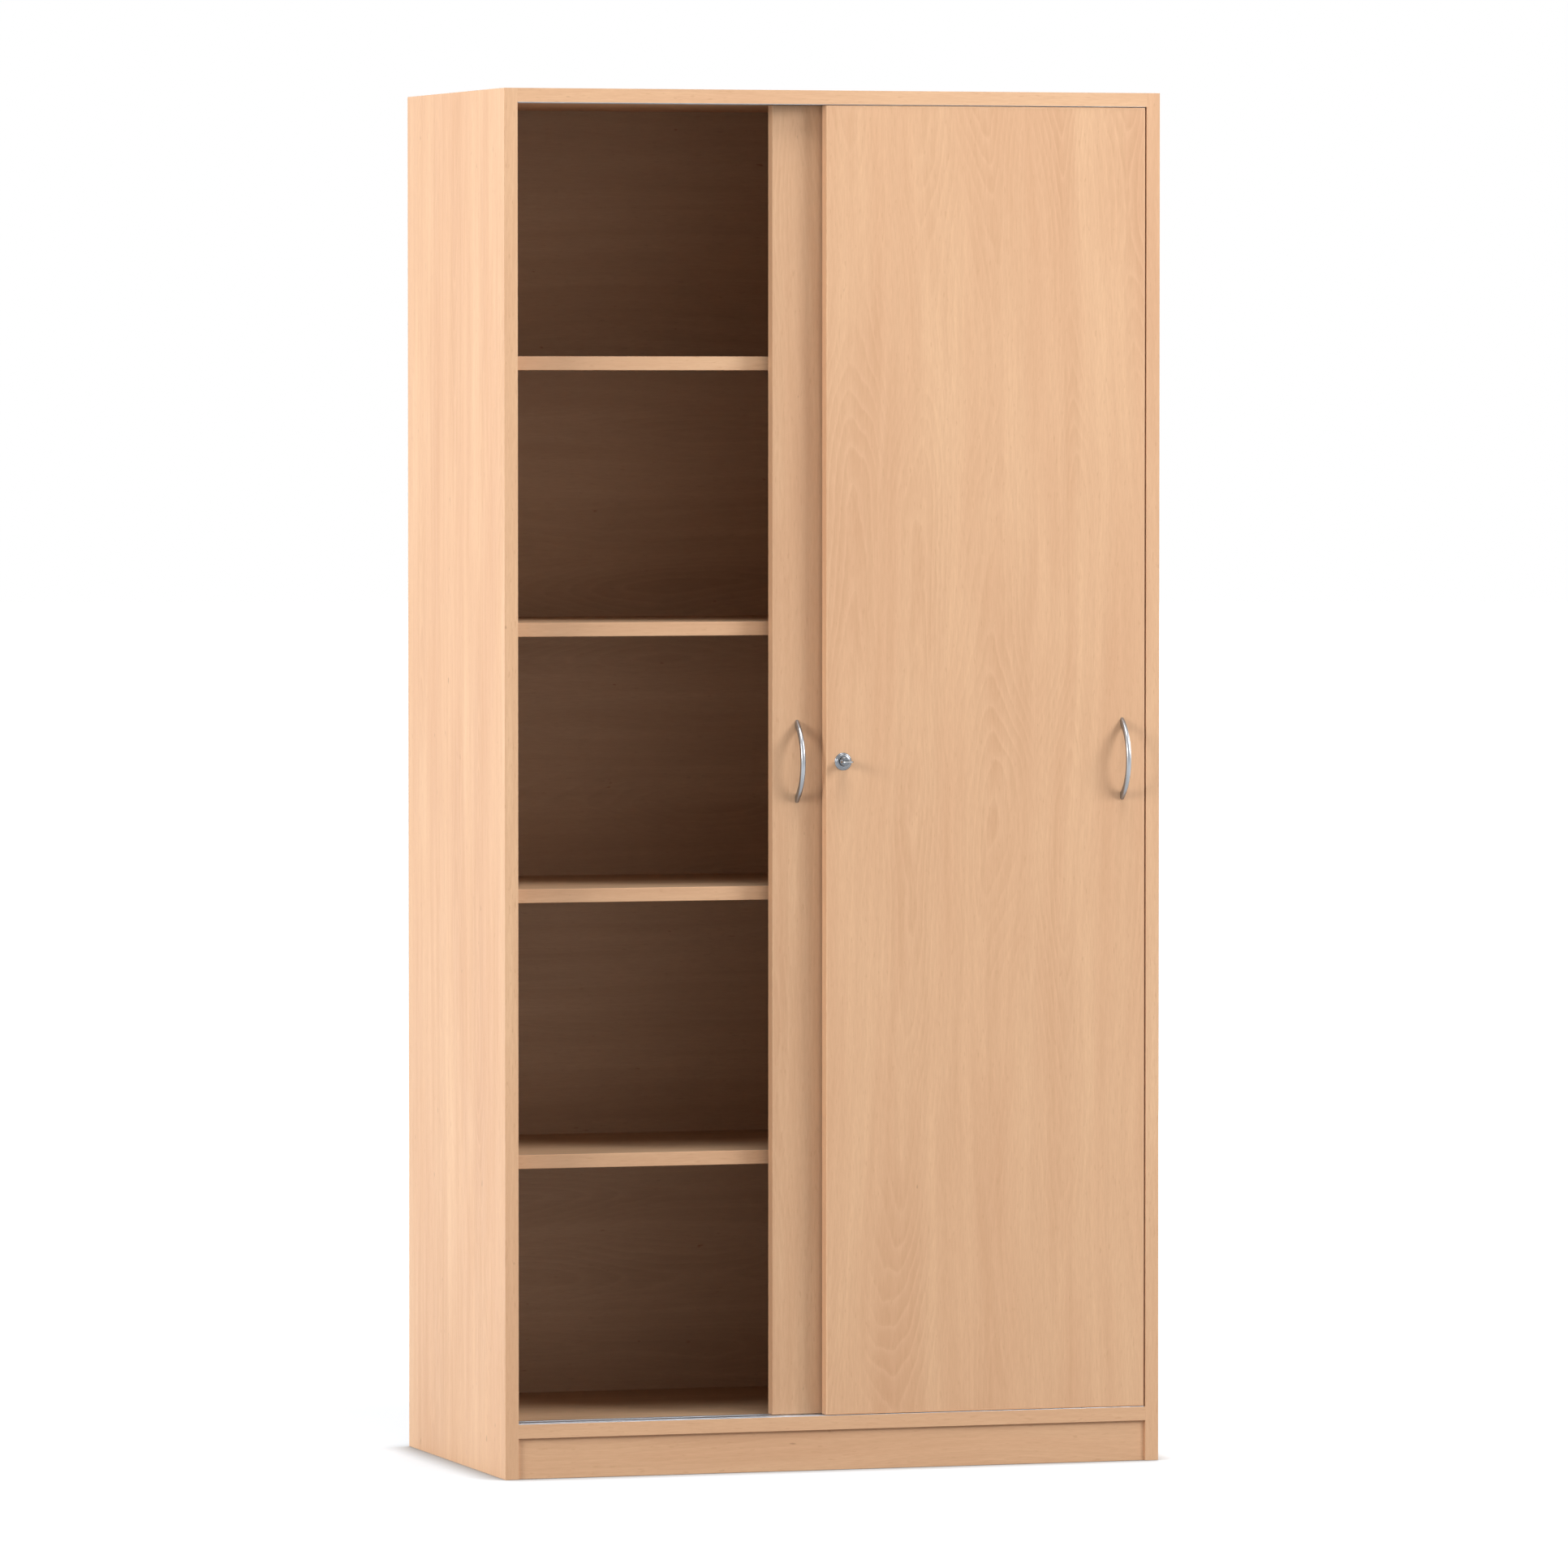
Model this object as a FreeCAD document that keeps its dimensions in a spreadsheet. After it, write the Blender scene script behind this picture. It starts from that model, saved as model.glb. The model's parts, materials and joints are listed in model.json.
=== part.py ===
import FreeCAD, Part
import os
import re

import Sketcher

# A tall cabinet of melamine-faced board with two sliding doors, one behind the other.
#
# +Z is up, +X is to the right as one faces the doors, +Y runs from the doors to the back.
# The origin is on the floor, under the middle of the whole piece, handles included.
# Every piece takes its size and place from the cells of the sheet "Sizes", in millimetres.

SHELF_COUNT = 4
GUIDE_SPRING_TURNS = 8
LOCK_SPRING_TURNS = 3

SIZES = {
    # carcass
    "width": (944, "over the outer faces of the two sides"),
    "depth": (500, "from the front edges to the rear edges of the sides"),
    "height": (1900, "from the floor to the top"),
    "board": (19, "thickness of the carcass boards and the shelves"),
    "plinth_height": (56, "from the floor to the underside of the bottom panel"),
    "plinth_recess": (4, "from the front edges back to the plinth"),
    "plinth_board": (16, "thickness of the plinth"),
    "back_board": (8, "thickness of the back panel"),
    "back_recess": (36, "from the rear edges forward to the back panel"),
    "groove_depth": (7, "depth of the grooves that hold the back panel"),
    "back_play": (0.3, "between the back panel and each wall of its groove"),
    # shelves
    "shelf_setback": (60, "from the front edges back to the shelves"),
    "shelf_play": (0.5, "between a shelf and each side, and the back panel"),
    "support_inset": (37, "from a shelf's front or rear edge to its supports"),
    "support_plate": (1.6, "sheet thickness of a shelf support"),
    "support_width": (14, "width of a shelf support"),
    "support_reach": (12, "how far a shelf support reaches under its shelf"),
    "support_drop": (11, "height of a shelf support's leg"),
    "support_pin": (5, "diameter of a shelf support's pin"),
    "support_pin_length": (8, "length of a shelf support's pin in the side"),
    # connectors
    "fitting_inset": (80, "from the front and rear edges to the cam fittings"),
    "fitting_reach": (24, "from a side's inner face to the middle of a cam"),
    "cam_size": (15, "diameter of the hole for a cam"),
    "cam_height": (12.5, "height of a cam"),
    "cam_slot": (2, "width of a cam's screwdriver slot"),
    "cam_slot_depth": (1.5, "depth of a cam's screwdriver slot"),
    "cam_bolt": (7, "diameter of a cam bolt's shank"),
    "cam_thread": (5, "diameter of a cam bolt's thread, in the side"),
    "cam_thread_length": (10.5, "length of a cam bolt's thread"),
    "dowel_offset": (32, "from a cam fitting to the dowel beside it"),
    "dowel": (8, "diameter of the hole for a dowel"),
    "dowel_in_side": (11, "length of a dowel in a side"),
    "dowel_in_panel": (19, "length of a dowel in a panel's end"),
    "fit_play": (0.1, "between a fitting and the wall of its hole"),
    "hole_end_play": (0.5, "left at the blind end of a hole"),
    # doors
    "door_board": (19, "thickness of both doors"),
    "door_overlap": (48, "how far the closed doors overlap"),
    "door_difference": (24, "how much wider the rear door is than the front door"),
    "door_side_gap": (2, "between a closed door and its side"),
    "door_inset": (1.5, "from the front edges back to the front door"),
    "door_spacing": (6, "from the front door back to the rear door"),
    "door_end_gap": (1.3, "above and below a door"),
    "rear_door_shown": (70, "how much of the open rear door shows beside the front door"),
    "buffer_size": (8, "diameter of a door buffer"),
    "buffer_inset": (150, "from the floor panel and the top panel to a buffer"),
    "buffer_play": (0.4, "between a buffer and a closed door"),
    # tracks
    "channel_width": (7, "width of a track's channels"),
    "track_wall": (1.2, "wall of a track"),
    "track_front_margin": (9, "from the front channel's middle to the track's front"),
    "track_back_margin": (14, "from the rear channel's middle to the track's back"),
    "track_play": (0.2, "between a track and its recess"),
    "track_proud": (0.5, "how far a track stands out of its recess"),
    "lower_track_depth": (5, "depth of the recess in the bottom panel"),
    "upper_track_depth": (9, "depth of the recess in the top panel"),
    "track_rib": (8, "width of the rib that takes the track's screws"),
    "screw": (3, "shank diameter of the small screws"),
    "screw_head": (6, "head diameter of the small screws"),
    "screw_head_height": (1.5, "head height of the small screws"),
    "screw_grip": (8, "length of a small screw in the board"),
    "track_screw_inset": (70, "from a track's ends to its outer screws"),
    # rollers
    "roller_inset": (60, "from a door's edges to its rollers and guides"),
    "wheel_size": (18, "diameter of a wheel"),
    "wheel_width": (5, "width of a wheel"),
    "wheel_float": (0.3, "between a wheel and the track under it"),
    "wheel_gap": (0.7, "between a wheel and its housing, at each face"),
    "axle_size": (3, "diameter of an axle"),
    "running_play": (0.05, "radial clearance of a turning or sliding fit"),
    "housing_length": (32, "length of a roller housing"),
    "housing_width": (12, "width of a roller housing, across the door"),
    "housing_height": (22, "height of a roller housing"),
    # top guides
    "sleeve_size": (12, "diameter of the hole for a guide sleeve"),
    "sleeve_length": (34, "length of a guide sleeve"),
    "sleeve_cap": (4, "thickness of a guide sleeve's cap"),
    "sleeve_floor": (2, "thickness of a guide sleeve's floor"),
    "sleeve_bore": (9.6, "inner diameter of a guide sleeve"),
    "guide_pin": (6, "diameter of a guide pin"),
    "guide_reach": (7.3, "how far a guide pin stands above the door"),
    "guide_collar": (9.2, "diameter of a guide pin's collar"),
    "guide_collar_height": (2, "height of a guide pin's collar"),
    "guide_stem": (4, "diameter of the stem inside the spring"),
    "guide_stem_length": (8, "length of the stem inside the spring"),
    "guide_tip": (1, "height of the bevel on a guide pin's tip"),
    "spring_wire": (0.8, "diameter of a guide spring's wire"),
    "spring_size": (6.8, "diameter of a guide's spring, to the middle of its wire"),
    # handles
    "front_handle_inset": (32.7, "from the front door's outer edge to its handle"),
    "rear_handle_inset": (35.6, "from the rear door's outer edge to its handle"),
    "handle_height": (977.7, "from the floor to the middle of the handles and the lock"),
    "handle_chord": (101.2, "between the handle's feet, to the middle of the bar"),
    "handle_projection": (31.5, "from a door's face to the handle's outer face"),
    "handle_thickness": (7.4, "thickness of the bar at its middle"),
    "handle_foot": (10, "thickness of the bar at its feet"),
    "handle_width": (7.2, "width of the bar at its middle"),
    "handle_foot_width": (5.9, "width of the bar at its feet"),
    "handle_screw_spacing": (96, "between the two screws of a handle"),
    "handle_screw": (4, "shank diameter of a handle's screw"),
    "handle_screw_core": (3.2, "diameter of a handle's screw inside the foot"),
    "handle_screw_grip": (6.5, "length of a handle's screw in the foot"),
    "handle_screw_head": (8, "head diameter of a handle's screw"),
    "handle_screw_head_height": (2.4, "head height of a handle's screw"),
    "counterbore_depth": (3, "depth of the seat of a handle's screw"),
    # lock
    "lock_inset": (24.3, "from the front door's inner edge to the lock"),
    "rosette_size": (24.5, "diameter of the lock's flange"),
    "rosette_height": (3, "thickness of the lock's flange"),
    "barrel_size": (18, "diameter of the lock's barrel, in the door"),
    "plunger_size": (12.6, "diameter of the push cylinder"),
    "plunger_reach": (12, "how far the push cylinder stands out of the door"),
    "plunger_depth": (8, "how far the push cylinder's wide part reaches into the door"),
    "bolt_size": (7, "diameter of the push cylinder's bolt"),
    "barrel_floor": (3, "thickness of the barrel's end, around the bolt"),
    "lock_spring_wire": (0.5, "diameter of the lock spring's wire"),
    "core_size": (9.6, "diameter of the turning core"),
    "core_depth": (18, "length of the turning core"),
    "key_blade_width": (7, "width of the key's blade"),
    "key_blade": (2, "thickness of the key"),
    "key_blade_length": (16, "length of the key's blade in the core"),
    "key_bow": (18, "diameter of the key's bow"),
    "key_reach": (28, "from the door's face to the end of the key"),
    "key_hole": (5, "diameter of the hole in the key's bow"),
    "key_play": (0.2, "between the key and the core"),
    "lock_plate": (1.5, "thickness of the plate behind the lock"),
    "lock_plate_width": (26, "width of the plate behind the lock"),
    "lock_plate_height": (44, "height of the plate behind the lock"),
    "lock_screw_spacing": (32, "between the screws of the plate behind the lock"),
    "strike": (2.5, "thickness of the strike plate"),
    "strike_width": (22, "width of the strike plate"),
    "strike_height": (40, "height of the strike plate"),
    "strike_hole": (8, "diameter of the strike's hole"),
    "strike_screw_spacing": (28, "between the screws of the strike plate"),
}

# Places and sizes that follow from the cells above. Each is spelt out in cells when it is used.
PLACES = {
    "left_face": "0 - width / 2",
    "inner_left": "board - width / 2",
    "inner_right": "width / 2 - board",
    "inner_width": "width - 2 * board",
    "front_face": "(handle_projection - door_inset - depth) / 2",
    "floor_top": "plinth_height + board",
    "ceiling": "height - board",
    "clear_height": "ceiling - floor_top",
    "back_front": "depth - back_recess - back_board",
    "shelf_length": "inner_width - 2 * shelf_play",
    "shelf_depth": "back_front - shelf_setback - shelf_play",
    "shelf_pitch": "(clear_height + board) / " + str(SHELF_COUNT + 1),
    "door_height": "clear_height - 2 * door_end_gap",
    "door_foot": "floor_top + door_end_gap",
    "door_head": "ceiling - door_end_gap",
    "front_door_width":
        "(inner_width - 2 * door_side_gap + door_overlap - door_difference) / 2",
    "rear_door_width": "front_door_width + door_difference",
    "front_door_left": "inner_right - door_side_gap - front_door_width",
    "rear_door_closed": "inner_left + door_side_gap",
    "rear_door_left": "front_door_left - rear_door_shown",
    "front_door_face": "front_face + door_inset",
    "rear_door_face": "front_door_face + door_board + door_spacing",
    "front_channel": "front_door_face + door_board / 2",
    "rear_channel": "rear_door_face + door_board / 2",
    "track_front": "front_channel - track_front_margin",
    "track_width": "rear_channel - front_channel + track_front_margin + track_back_margin",
    "track_length": "inner_width - 2 * track_play",
    "rib_middle": "(front_channel + rear_channel) / 2",
    "axle_height": "floor_top - lower_track_depth + track_wall + wheel_float + wheel_size / 2",
    "guide_tip_height": "door_head + guide_reach",
    "sleeve_foot": "door_head - sleeve_length",
    "collar_top": "door_head - sleeve_cap - fit_play",
    "collar_foot": "collar_top - guide_collar_height",
    "spring_foot": "sleeve_foot + sleeve_floor",
    "lock_middle": "front_door_left + lock_inset",
    "front_door_back": "front_door_face + door_board",
    "handle_rise": "handle_projection - handle_thickness / 2",
    "handle_radius": "(handle_chord * handle_chord / 4 + handle_rise * handle_rise) / (2 * handle_rise)",
    "handle_half_angle": "asin(handle_chord / 2 / handle_radius)",
}

WORD = re.compile(r"[a-z][a-z_]+")

# A sketch's plane, whether a pocket from it is reversed, and the sign of the plane's normal.
DIRECTIONS = {
    "-X": ("YZ_Plane", False, 1),
    "+X": ("YZ_Plane", True, 1),
    "-Z": ("XY_Plane", False, 1),
    "+Z": ("XY_Plane", True, 1),
    "+Y": ("XZ_Plane", False, -1),
    "-Y": ("XZ_Plane", True, -1),
}

TURNS = {
    "X": FreeCAD.Rotation(FreeCAD.Vector(0, 1, 0), 90),
    "Y": FreeCAD.Rotation(FreeCAD.Vector(1, 0, 0), -90),
    "Z": FreeCAD.Rotation(),
}

doc = FreeCAD.newDocument("SlidingDoorCabinet")
sheet = doc.addObject("Spreadsheet::Sheet", "Sizes")
for row, (alias, (size, meaning)) in enumerate(SIZES.items(), 1):
    sheet.set(f"A{row}", alias)
    sheet.set(f"B{row}", str(size))
    sheet.set(f"C{row}", meaning)
    sheet.setAlias(f"B{row}", alias)
doc.recompute()

nodes = []


def sized(text):
    """Spell a size or place out in cells of the sheet."""
    def spell(match):
        word = match.group()
        if word in PLACES:
            return "(" + sized(PLACES[word]) + ")"
        if word in SIZES:
            return "Sizes." + word
        return word
    return WORD.sub(spell, text)


def bind(item, path, text):
    """Tie one property of an object to the sheet."""
    item.setExpression(path, sized(text))


def place(item, at, path="Placement"):
    """Tie an object's place to the sheet."""
    for axis, text in zip("xyz", at):
        bind(item, f"{path}.Base.{axis}", text)


def node(item, name=None):
    """Keep an object as a piece of its own, under the name of its file."""
    item.Label = name or item.Name
    nodes.append(item)
    return item


# ---- PartDesign: boards, with their grooves, recesses and holes ----


def sketch_on(body, towards, start, corner=("0", "0")):
    """Start a sketch on an origin plane of a body, moved along the plane's normal to start."""
    plane, _, sign = DIRECTIONS[towards]
    sketch = body.newObject("Sketcher::SketchObject", body.Name + "_sketch")
    support = next(item for item in body.Origin.OriginFeatures if item.Role == plane)
    sketch.AttachmentSupport = [(support, "")]
    sketch.MapMode = "FlatFace"
    along = start if sign > 0 else f"0 - ({start})"
    place(sketch, (corner[0], corner[1], along), "AttachmentOffset")
    return sketch


def draw_rectangle(sketch, wide, high):
    """Draw a rectangle up and to the right of the sketch's origin."""
    corners = [FreeCAD.Vector(x, y, 0) for x, y in ((0, 0), (9, 0), (9, 9), (0, 9))]
    ends = corners[1:] + corners[:1]
    sketch.addGeometry([Part.LineSegment(*pair) for pair in zip(corners, ends)], False)
    rules = [Sketcher.Constraint("Coincident", side, 2, (side + 1) % 4, 1) for side in range(4)]
    rules += [Sketcher.Constraint("Horizontal", side) for side in (0, 2)]
    rules += [Sketcher.Constraint("Vertical", side) for side in (1, 3)]
    rules += [Sketcher.Constraint("Coincident", 0, 1, -1, 1)]
    sketch.addConstraint(rules)
    across = sketch.addConstraint(Sketcher.Constraint("DistanceX", 0, 1, 0, 2, 9))
    up = sketch.addConstraint(Sketcher.Constraint("DistanceY", 1, 1, 1, 2, 9))
    bind(sketch, f"Constraints[{across}]", wide)
    bind(sketch, f"Constraints[{up}]", high)


def draw_circles(sketch, spots, radius):
    """Draw equal circles, each at its distances right of and above the sketch's origin."""
    for index, (right, above) in enumerate(spots):
        circle = Part.Circle(FreeCAD.Vector(9, 9, 0), FreeCAD.Vector(0, 0, 1), 1)
        sketch.addGeometry(circle, False)
        rules = (
            (Sketcher.Constraint("Radius", index, 1), radius),
            (Sketcher.Constraint("DistanceX", -1, 1, index, 3, 9), right),
            (Sketcher.Constraint("DistanceY", -1, 1, index, 3, 9), above),
        )
        for rule, text in rules:
            number = sketch.addConstraint(rule)
            bind(sketch, f"Constraints[{number}]", text)


def panel(name, size, at):
    """Pad a board from the sketch of its footprint."""
    body = doc.addObject("PartDesign::Body", name)
    sketch = sketch_on(body, "-Z", "0")
    draw_rectangle(sketch, size[0], size[1])
    pad = body.newObject("PartDesign::Pad", name + "_pad")
    pad.Profile = sketch
    bind(pad, "Length", size[2])
    sketch.Visibility = False
    place(body, at)
    return node(body)


def pocket(body, sketch, towards, depth):
    """Cut a sketch into a body, and make sure that it takes something away."""
    doc.recompute()
    before = body.Shape.Volume
    cut = body.newObject("PartDesign::Pocket", body.Name + "_pocket")
    cut.Profile = sketch
    cut.Reversed = DIRECTIONS[towards][1]
    bind(cut, "Length", depth)
    doc.recompute()
    if not body.Shape.Volume < before:
        raise RuntimeError(f"{cut.Name} cuts nothing from {body.Name}")


def recess(body, towards, start, corner, size, depth):
    """Cut a rectangle into a board, towards one side from a start."""
    sketch = sketch_on(body, towards, start, corner)
    draw_rectangle(sketch, *size)
    pocket(body, sketch, towards, depth)


def holes(body, towards, start, spots, radius, depth):
    """Drill a board, towards one side from a start."""
    sketch = sketch_on(body, towards, start)
    draw_circles(sketch, spots, radius)
    pocket(body, sketch, towards, depth)


# ---- Part: turned pieces and blocks ----


def block(name, size, at):
    """Make a box from its lowest corner."""
    item = doc.addObject("Part::Box", name)
    for path, text in zip(("Length", "Width", "Height"), size):
        bind(item, path, text)
    place(item, at)
    return item


def rod(name, axis, at, radius, length):
    """Make a cylinder that starts at a point and runs along +X, +Y or +Z."""
    item = doc.addObject("Part::Cylinder", name)
    item.Placement.Rotation = TURNS[axis]
    bind(item, "Radius", radius)
    bind(item, "Height", length)
    place(item, at)
    return item


def joined(name, items):
    """Fuse items into one solid."""
    item = doc.addObject("Part::MultiFuse", name)
    item.Shapes = items
    item.Refine = True
    return item


def hollowed(name, base, tools):
    """Cut tools out of a base."""
    item = doc.addObject("Part::Cut", name)
    item.Base = base
    item.Tool = tools[0] if len(tools) == 1 else joined(name + "_tools", tools)
    return item


def several(name, items):
    """Keep separate solids together as one piece of the list."""
    item = doc.addObject("Part::Compound", name)
    item.Links = items
    return node(item)


# ---- carcass ----

FITTING_ROWS = ("fitting_inset", "depth - fitting_inset")
DOWEL_ROWS = ("fitting_inset + dowel_offset", "depth - fitting_inset - dowel_offset")
SUPPORT_ROWS = (
    "shelf_setback + support_inset",
    "shelf_setback + shelf_depth - support_inset",
)
TRACK_SCREWS = ("(inner_left + track_screw_inset)", "0", "(inner_right - track_screw_inset)")
PLINTH_DOWEL = ("plinth_recess + plinth_board / 2", "plinth_height / 2")
JOINT_HEIGHTS = ("plinth_height + board / 2", "height - board / 2")


def shelf_height(number):
    """Return the height of a shelf's underside; shelves count from 1 at the bottom."""
    return f"(floor_top + {number} * shelf_pitch - board)"


def support_pin_height(number):
    """Return the height of a shelf's support pins."""
    return f"({shelf_height(number)} - support_plate - support_drop / 2)"


def side(name, left, inner, towards):
    """Make a side: a board with a groove for the back and holes for every fitting."""
    body = panel(name, ("board", "depth", "height"), (left, "front_face", "0"))
    recess(body, towards, inner, ("back_front - back_play", "floor_top - groove_depth"),
           ("back_board + 2 * back_play", "clear_height + 2 * groove_depth"), "groove_depth")
    supports = [(row, support_pin_height(number))
                for number in range(1, SHELF_COUNT + 1) for row in SUPPORT_ROWS]
    holes(body, towards, inner, supports, "support_pin / 2", "support_pin_length + hole_end_play")
    bolts = [(row, high) for high in JOINT_HEIGHTS for row in FITTING_ROWS]
    holes(body, towards, inner, bolts, "cam_thread / 2", "cam_thread_length + hole_end_play")
    dowels = [(row, high) for high in JOINT_HEIGHTS for row in DOWEL_ROWS] + [PLINTH_DOWEL]
    holes(body, towards, inner, dowels, "dowel / 2", "dowel_in_side + hole_end_play")


def drill_ends(body, rows, radius, depth):
    """Drill both ends of a panel that stands between the sides."""
    holes(body, "+X", "0", rows, radius, depth)
    holes(body, "-X", "inner_width", rows, radius, depth)


def cross_panel(name, foot, cams_from, cams_towards, inside, inwards, track_depth):
    """Make the bottom or the top panel, with its track recess on the inside."""
    body = panel(name, ("inner_width", "depth", "board"), ("inner_left", "front_face", foot))
    recess(body, inwards, inside, ("0", "track_front - front_face - track_play"),
           ("inner_width", "track_width + 2 * track_play"), track_depth)
    recess(body, inwards, inside, ("0", "back_front - back_play"),
           ("inner_width", "back_board + 2 * back_play"), "groove_depth")
    cams = [(along, row) for along in ("fitting_reach", "inner_width - fitting_reach")
            for row in FITTING_ROWS]
    holes(body, cams_towards, cams_from, cams, "cam_size / 2", "cam_height + hole_end_play")
    drill_ends(body, [(row, "board / 2") for row in FITTING_ROWS],
               "cam_bolt / 2 + fit_play", "fitting_reach")
    drill_ends(body, [(row, "board / 2") for row in DOWEL_ROWS],
               "dowel / 2", "dowel_in_panel + hole_end_play")
    screws = [(f"{along} - inner_left", "rib_middle - front_face") for along in TRACK_SCREWS]
    seat = "board - " + track_depth if inwards == "-Z" else track_depth
    holes(body, inwards, seat, screws, "screw / 2", "screw_grip + hole_end_play")


side("left_side", "left_face", "board", "-X")
side("right_side", "inner_right", "0", "+X")
cross_panel("bottom_panel", "plinth_height", "0", "+Z", "board", "-Z", "lower_track_depth")
cross_panel("top_panel", "ceiling", "board", "-Z", "0", "+Z", "upper_track_depth")

plinth = panel("plinth", ("inner_width", "plinth_board", "plinth_height"),
               ("inner_left", "front_face + plinth_recess", "0"))
drill_ends(plinth, [("plinth_board / 2", "plinth_height / 2")],
           "dowel / 2", "dowel_in_panel + hole_end_play")

panel("back_panel",
      ("inner_width + 2 * groove_depth - 2 * back_play", "back_board",
       "clear_height + 2 * groove_depth - 2 * back_play"),
      ("inner_left - groove_depth + back_play", "front_face + back_front",
       "floor_top - groove_depth + back_play"))

for number in range(1, SHELF_COUNT + 1):
    panel(f"shelf_{number}", ("shelf_length", "shelf_depth", "board"),
          ("inner_left + shelf_play", "front_face + shelf_setback", shelf_height(number)))


def shelf_support(name, number, row, left):
    """Make a bracket with its pin in a side: a plate under the shelf, and a leg."""
    near = f"front_face + {row} - support_width / 2"
    plate_foot = f"{shelf_height(number)} - support_plate"
    plate_at = "inner_left" if left else "inner_right - support_reach"
    leg_at = "inner_left" if left else "inner_right - support_plate"
    pin_at = "inner_left - support_pin_length" if left else "inner_right - support_plate"
    return joined(name, [
        block(name + "_plate", ("support_reach", "support_width", "support_plate"),
              (plate_at, near, plate_foot)),
        block(name + "_leg", ("support_plate", "support_width", "support_drop"),
              (leg_at, near, f"{plate_foot} - support_drop")),
        rod(name + "_pin", "X", (pin_at, f"front_face + {row}", support_pin_height(number)),
            "support_pin / 2 - fit_play", "support_pin_length + support_plate"),
    ])


several("shelf_supports", [
    shelf_support(f"support_{number}_{corner}", number, row, left)
    for number in range(1, SHELF_COUNT + 1)
    for corner, (row, left) in enumerate((row, left) for row in SUPPORT_ROWS
                                         for left in (True, False))
])


def fittings():
    """List each cam fitting: its name, row, height, whether at the left, and at the bottom."""
    found = []
    for low, high in zip((True, False), JOINT_HEIGHTS):
        for left in (True, False):
            for index, row in enumerate(FITTING_ROWS):
                level = "low" if low else "high"
                hand = "left" if left else "right"
                found.append((f"{level}_{hand}_{index}", row, high, left, low))
    return found


def cam_lock(name, row, left, low):
    """Make a round cam, flush with the outside of its panel, with a screwdriver slot."""
    middle = "(inner_left + fitting_reach)" if left else "(inner_right - fitting_reach)"
    foot = "plinth_height" if low else "height - cam_height"
    slot_foot = "plinth_height" if low else "height - cam_slot_depth"
    return hollowed("cam_" + name, rod(
        f"cam_{name}_disc", "Z", (middle, f"front_face + {row}", foot),
        "cam_size / 2 - fit_play", "cam_height",
    ), [block(f"cam_{name}_slot", ("cam_size", "cam_slot", "cam_slot_depth"),
              (f"{middle} - cam_size / 2", f"front_face + {row} - cam_slot / 2", slot_foot))])


def cam_bolt(name, row, high, left):
    """Make a bolt with its thread in the side and its shank against the cam."""
    at = (f"front_face + {row}", high)
    shank_at = "inner_left" if left else "inner_right - fitting_reach + cam_size / 2"
    thread_at = "inner_left - cam_thread_length" if left else "inner_right"
    return joined("bolt_" + name, [
        rod(f"bolt_{name}_shank", "X", (shank_at, *at), "cam_bolt / 2",
            "fitting_reach - cam_size / 2"),
        rod(f"bolt_{name}_thread", "X", (thread_at, *at), "cam_thread / 2 - fit_play",
            "cam_thread_length"),
    ])


def wood_dowel(name, row, high, left):
    """Make a dowel, partly in a side and partly in the end of a panel."""
    start = "inner_left - dowel_in_side" if left else "inner_right - dowel_in_panel"
    return rod("dowel_" + name, "X", (start, f"front_face + {row}", high),
               "dowel / 2 - fit_play", "dowel_in_side + dowel_in_panel")


several("cam_locks", [cam_lock(name, row, left, low)
                      for name, row, high, left, low in fittings()])
several("cam_bolts", [cam_bolt(name, row, high, left)
                      for name, row, high, left, low in fittings()])

dowel_spots = [(row, high) for high in JOINT_HEIGHTS for row in DOWEL_ROWS] + [PLINTH_DOWEL]
several("wood_dowels", [wood_dowel(f"{hand}_{index}", row, high, hand == "left")
                        for hand in ("left", "right")
                        for index, (row, high) in enumerate(dowel_spots)])

BUFFER_HEIGHTS = ("floor_top + buffer_inset", "ceiling - buffer_inset")
several("door_buffers", [
    rod(f"buffer_{hand}_{level}", "X", (start, lane, high), "buffer_size / 2",
        "door_side_gap - buffer_play")
    for hand, start, lane in (
        ("left", "inner_left", "rear_channel"),
        ("right", "inner_right - door_side_gap + buffer_play", "front_channel"),
    )
    for level, high in enumerate(BUFFER_HEIGHTS)
])


# ---- tracks ----


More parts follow.
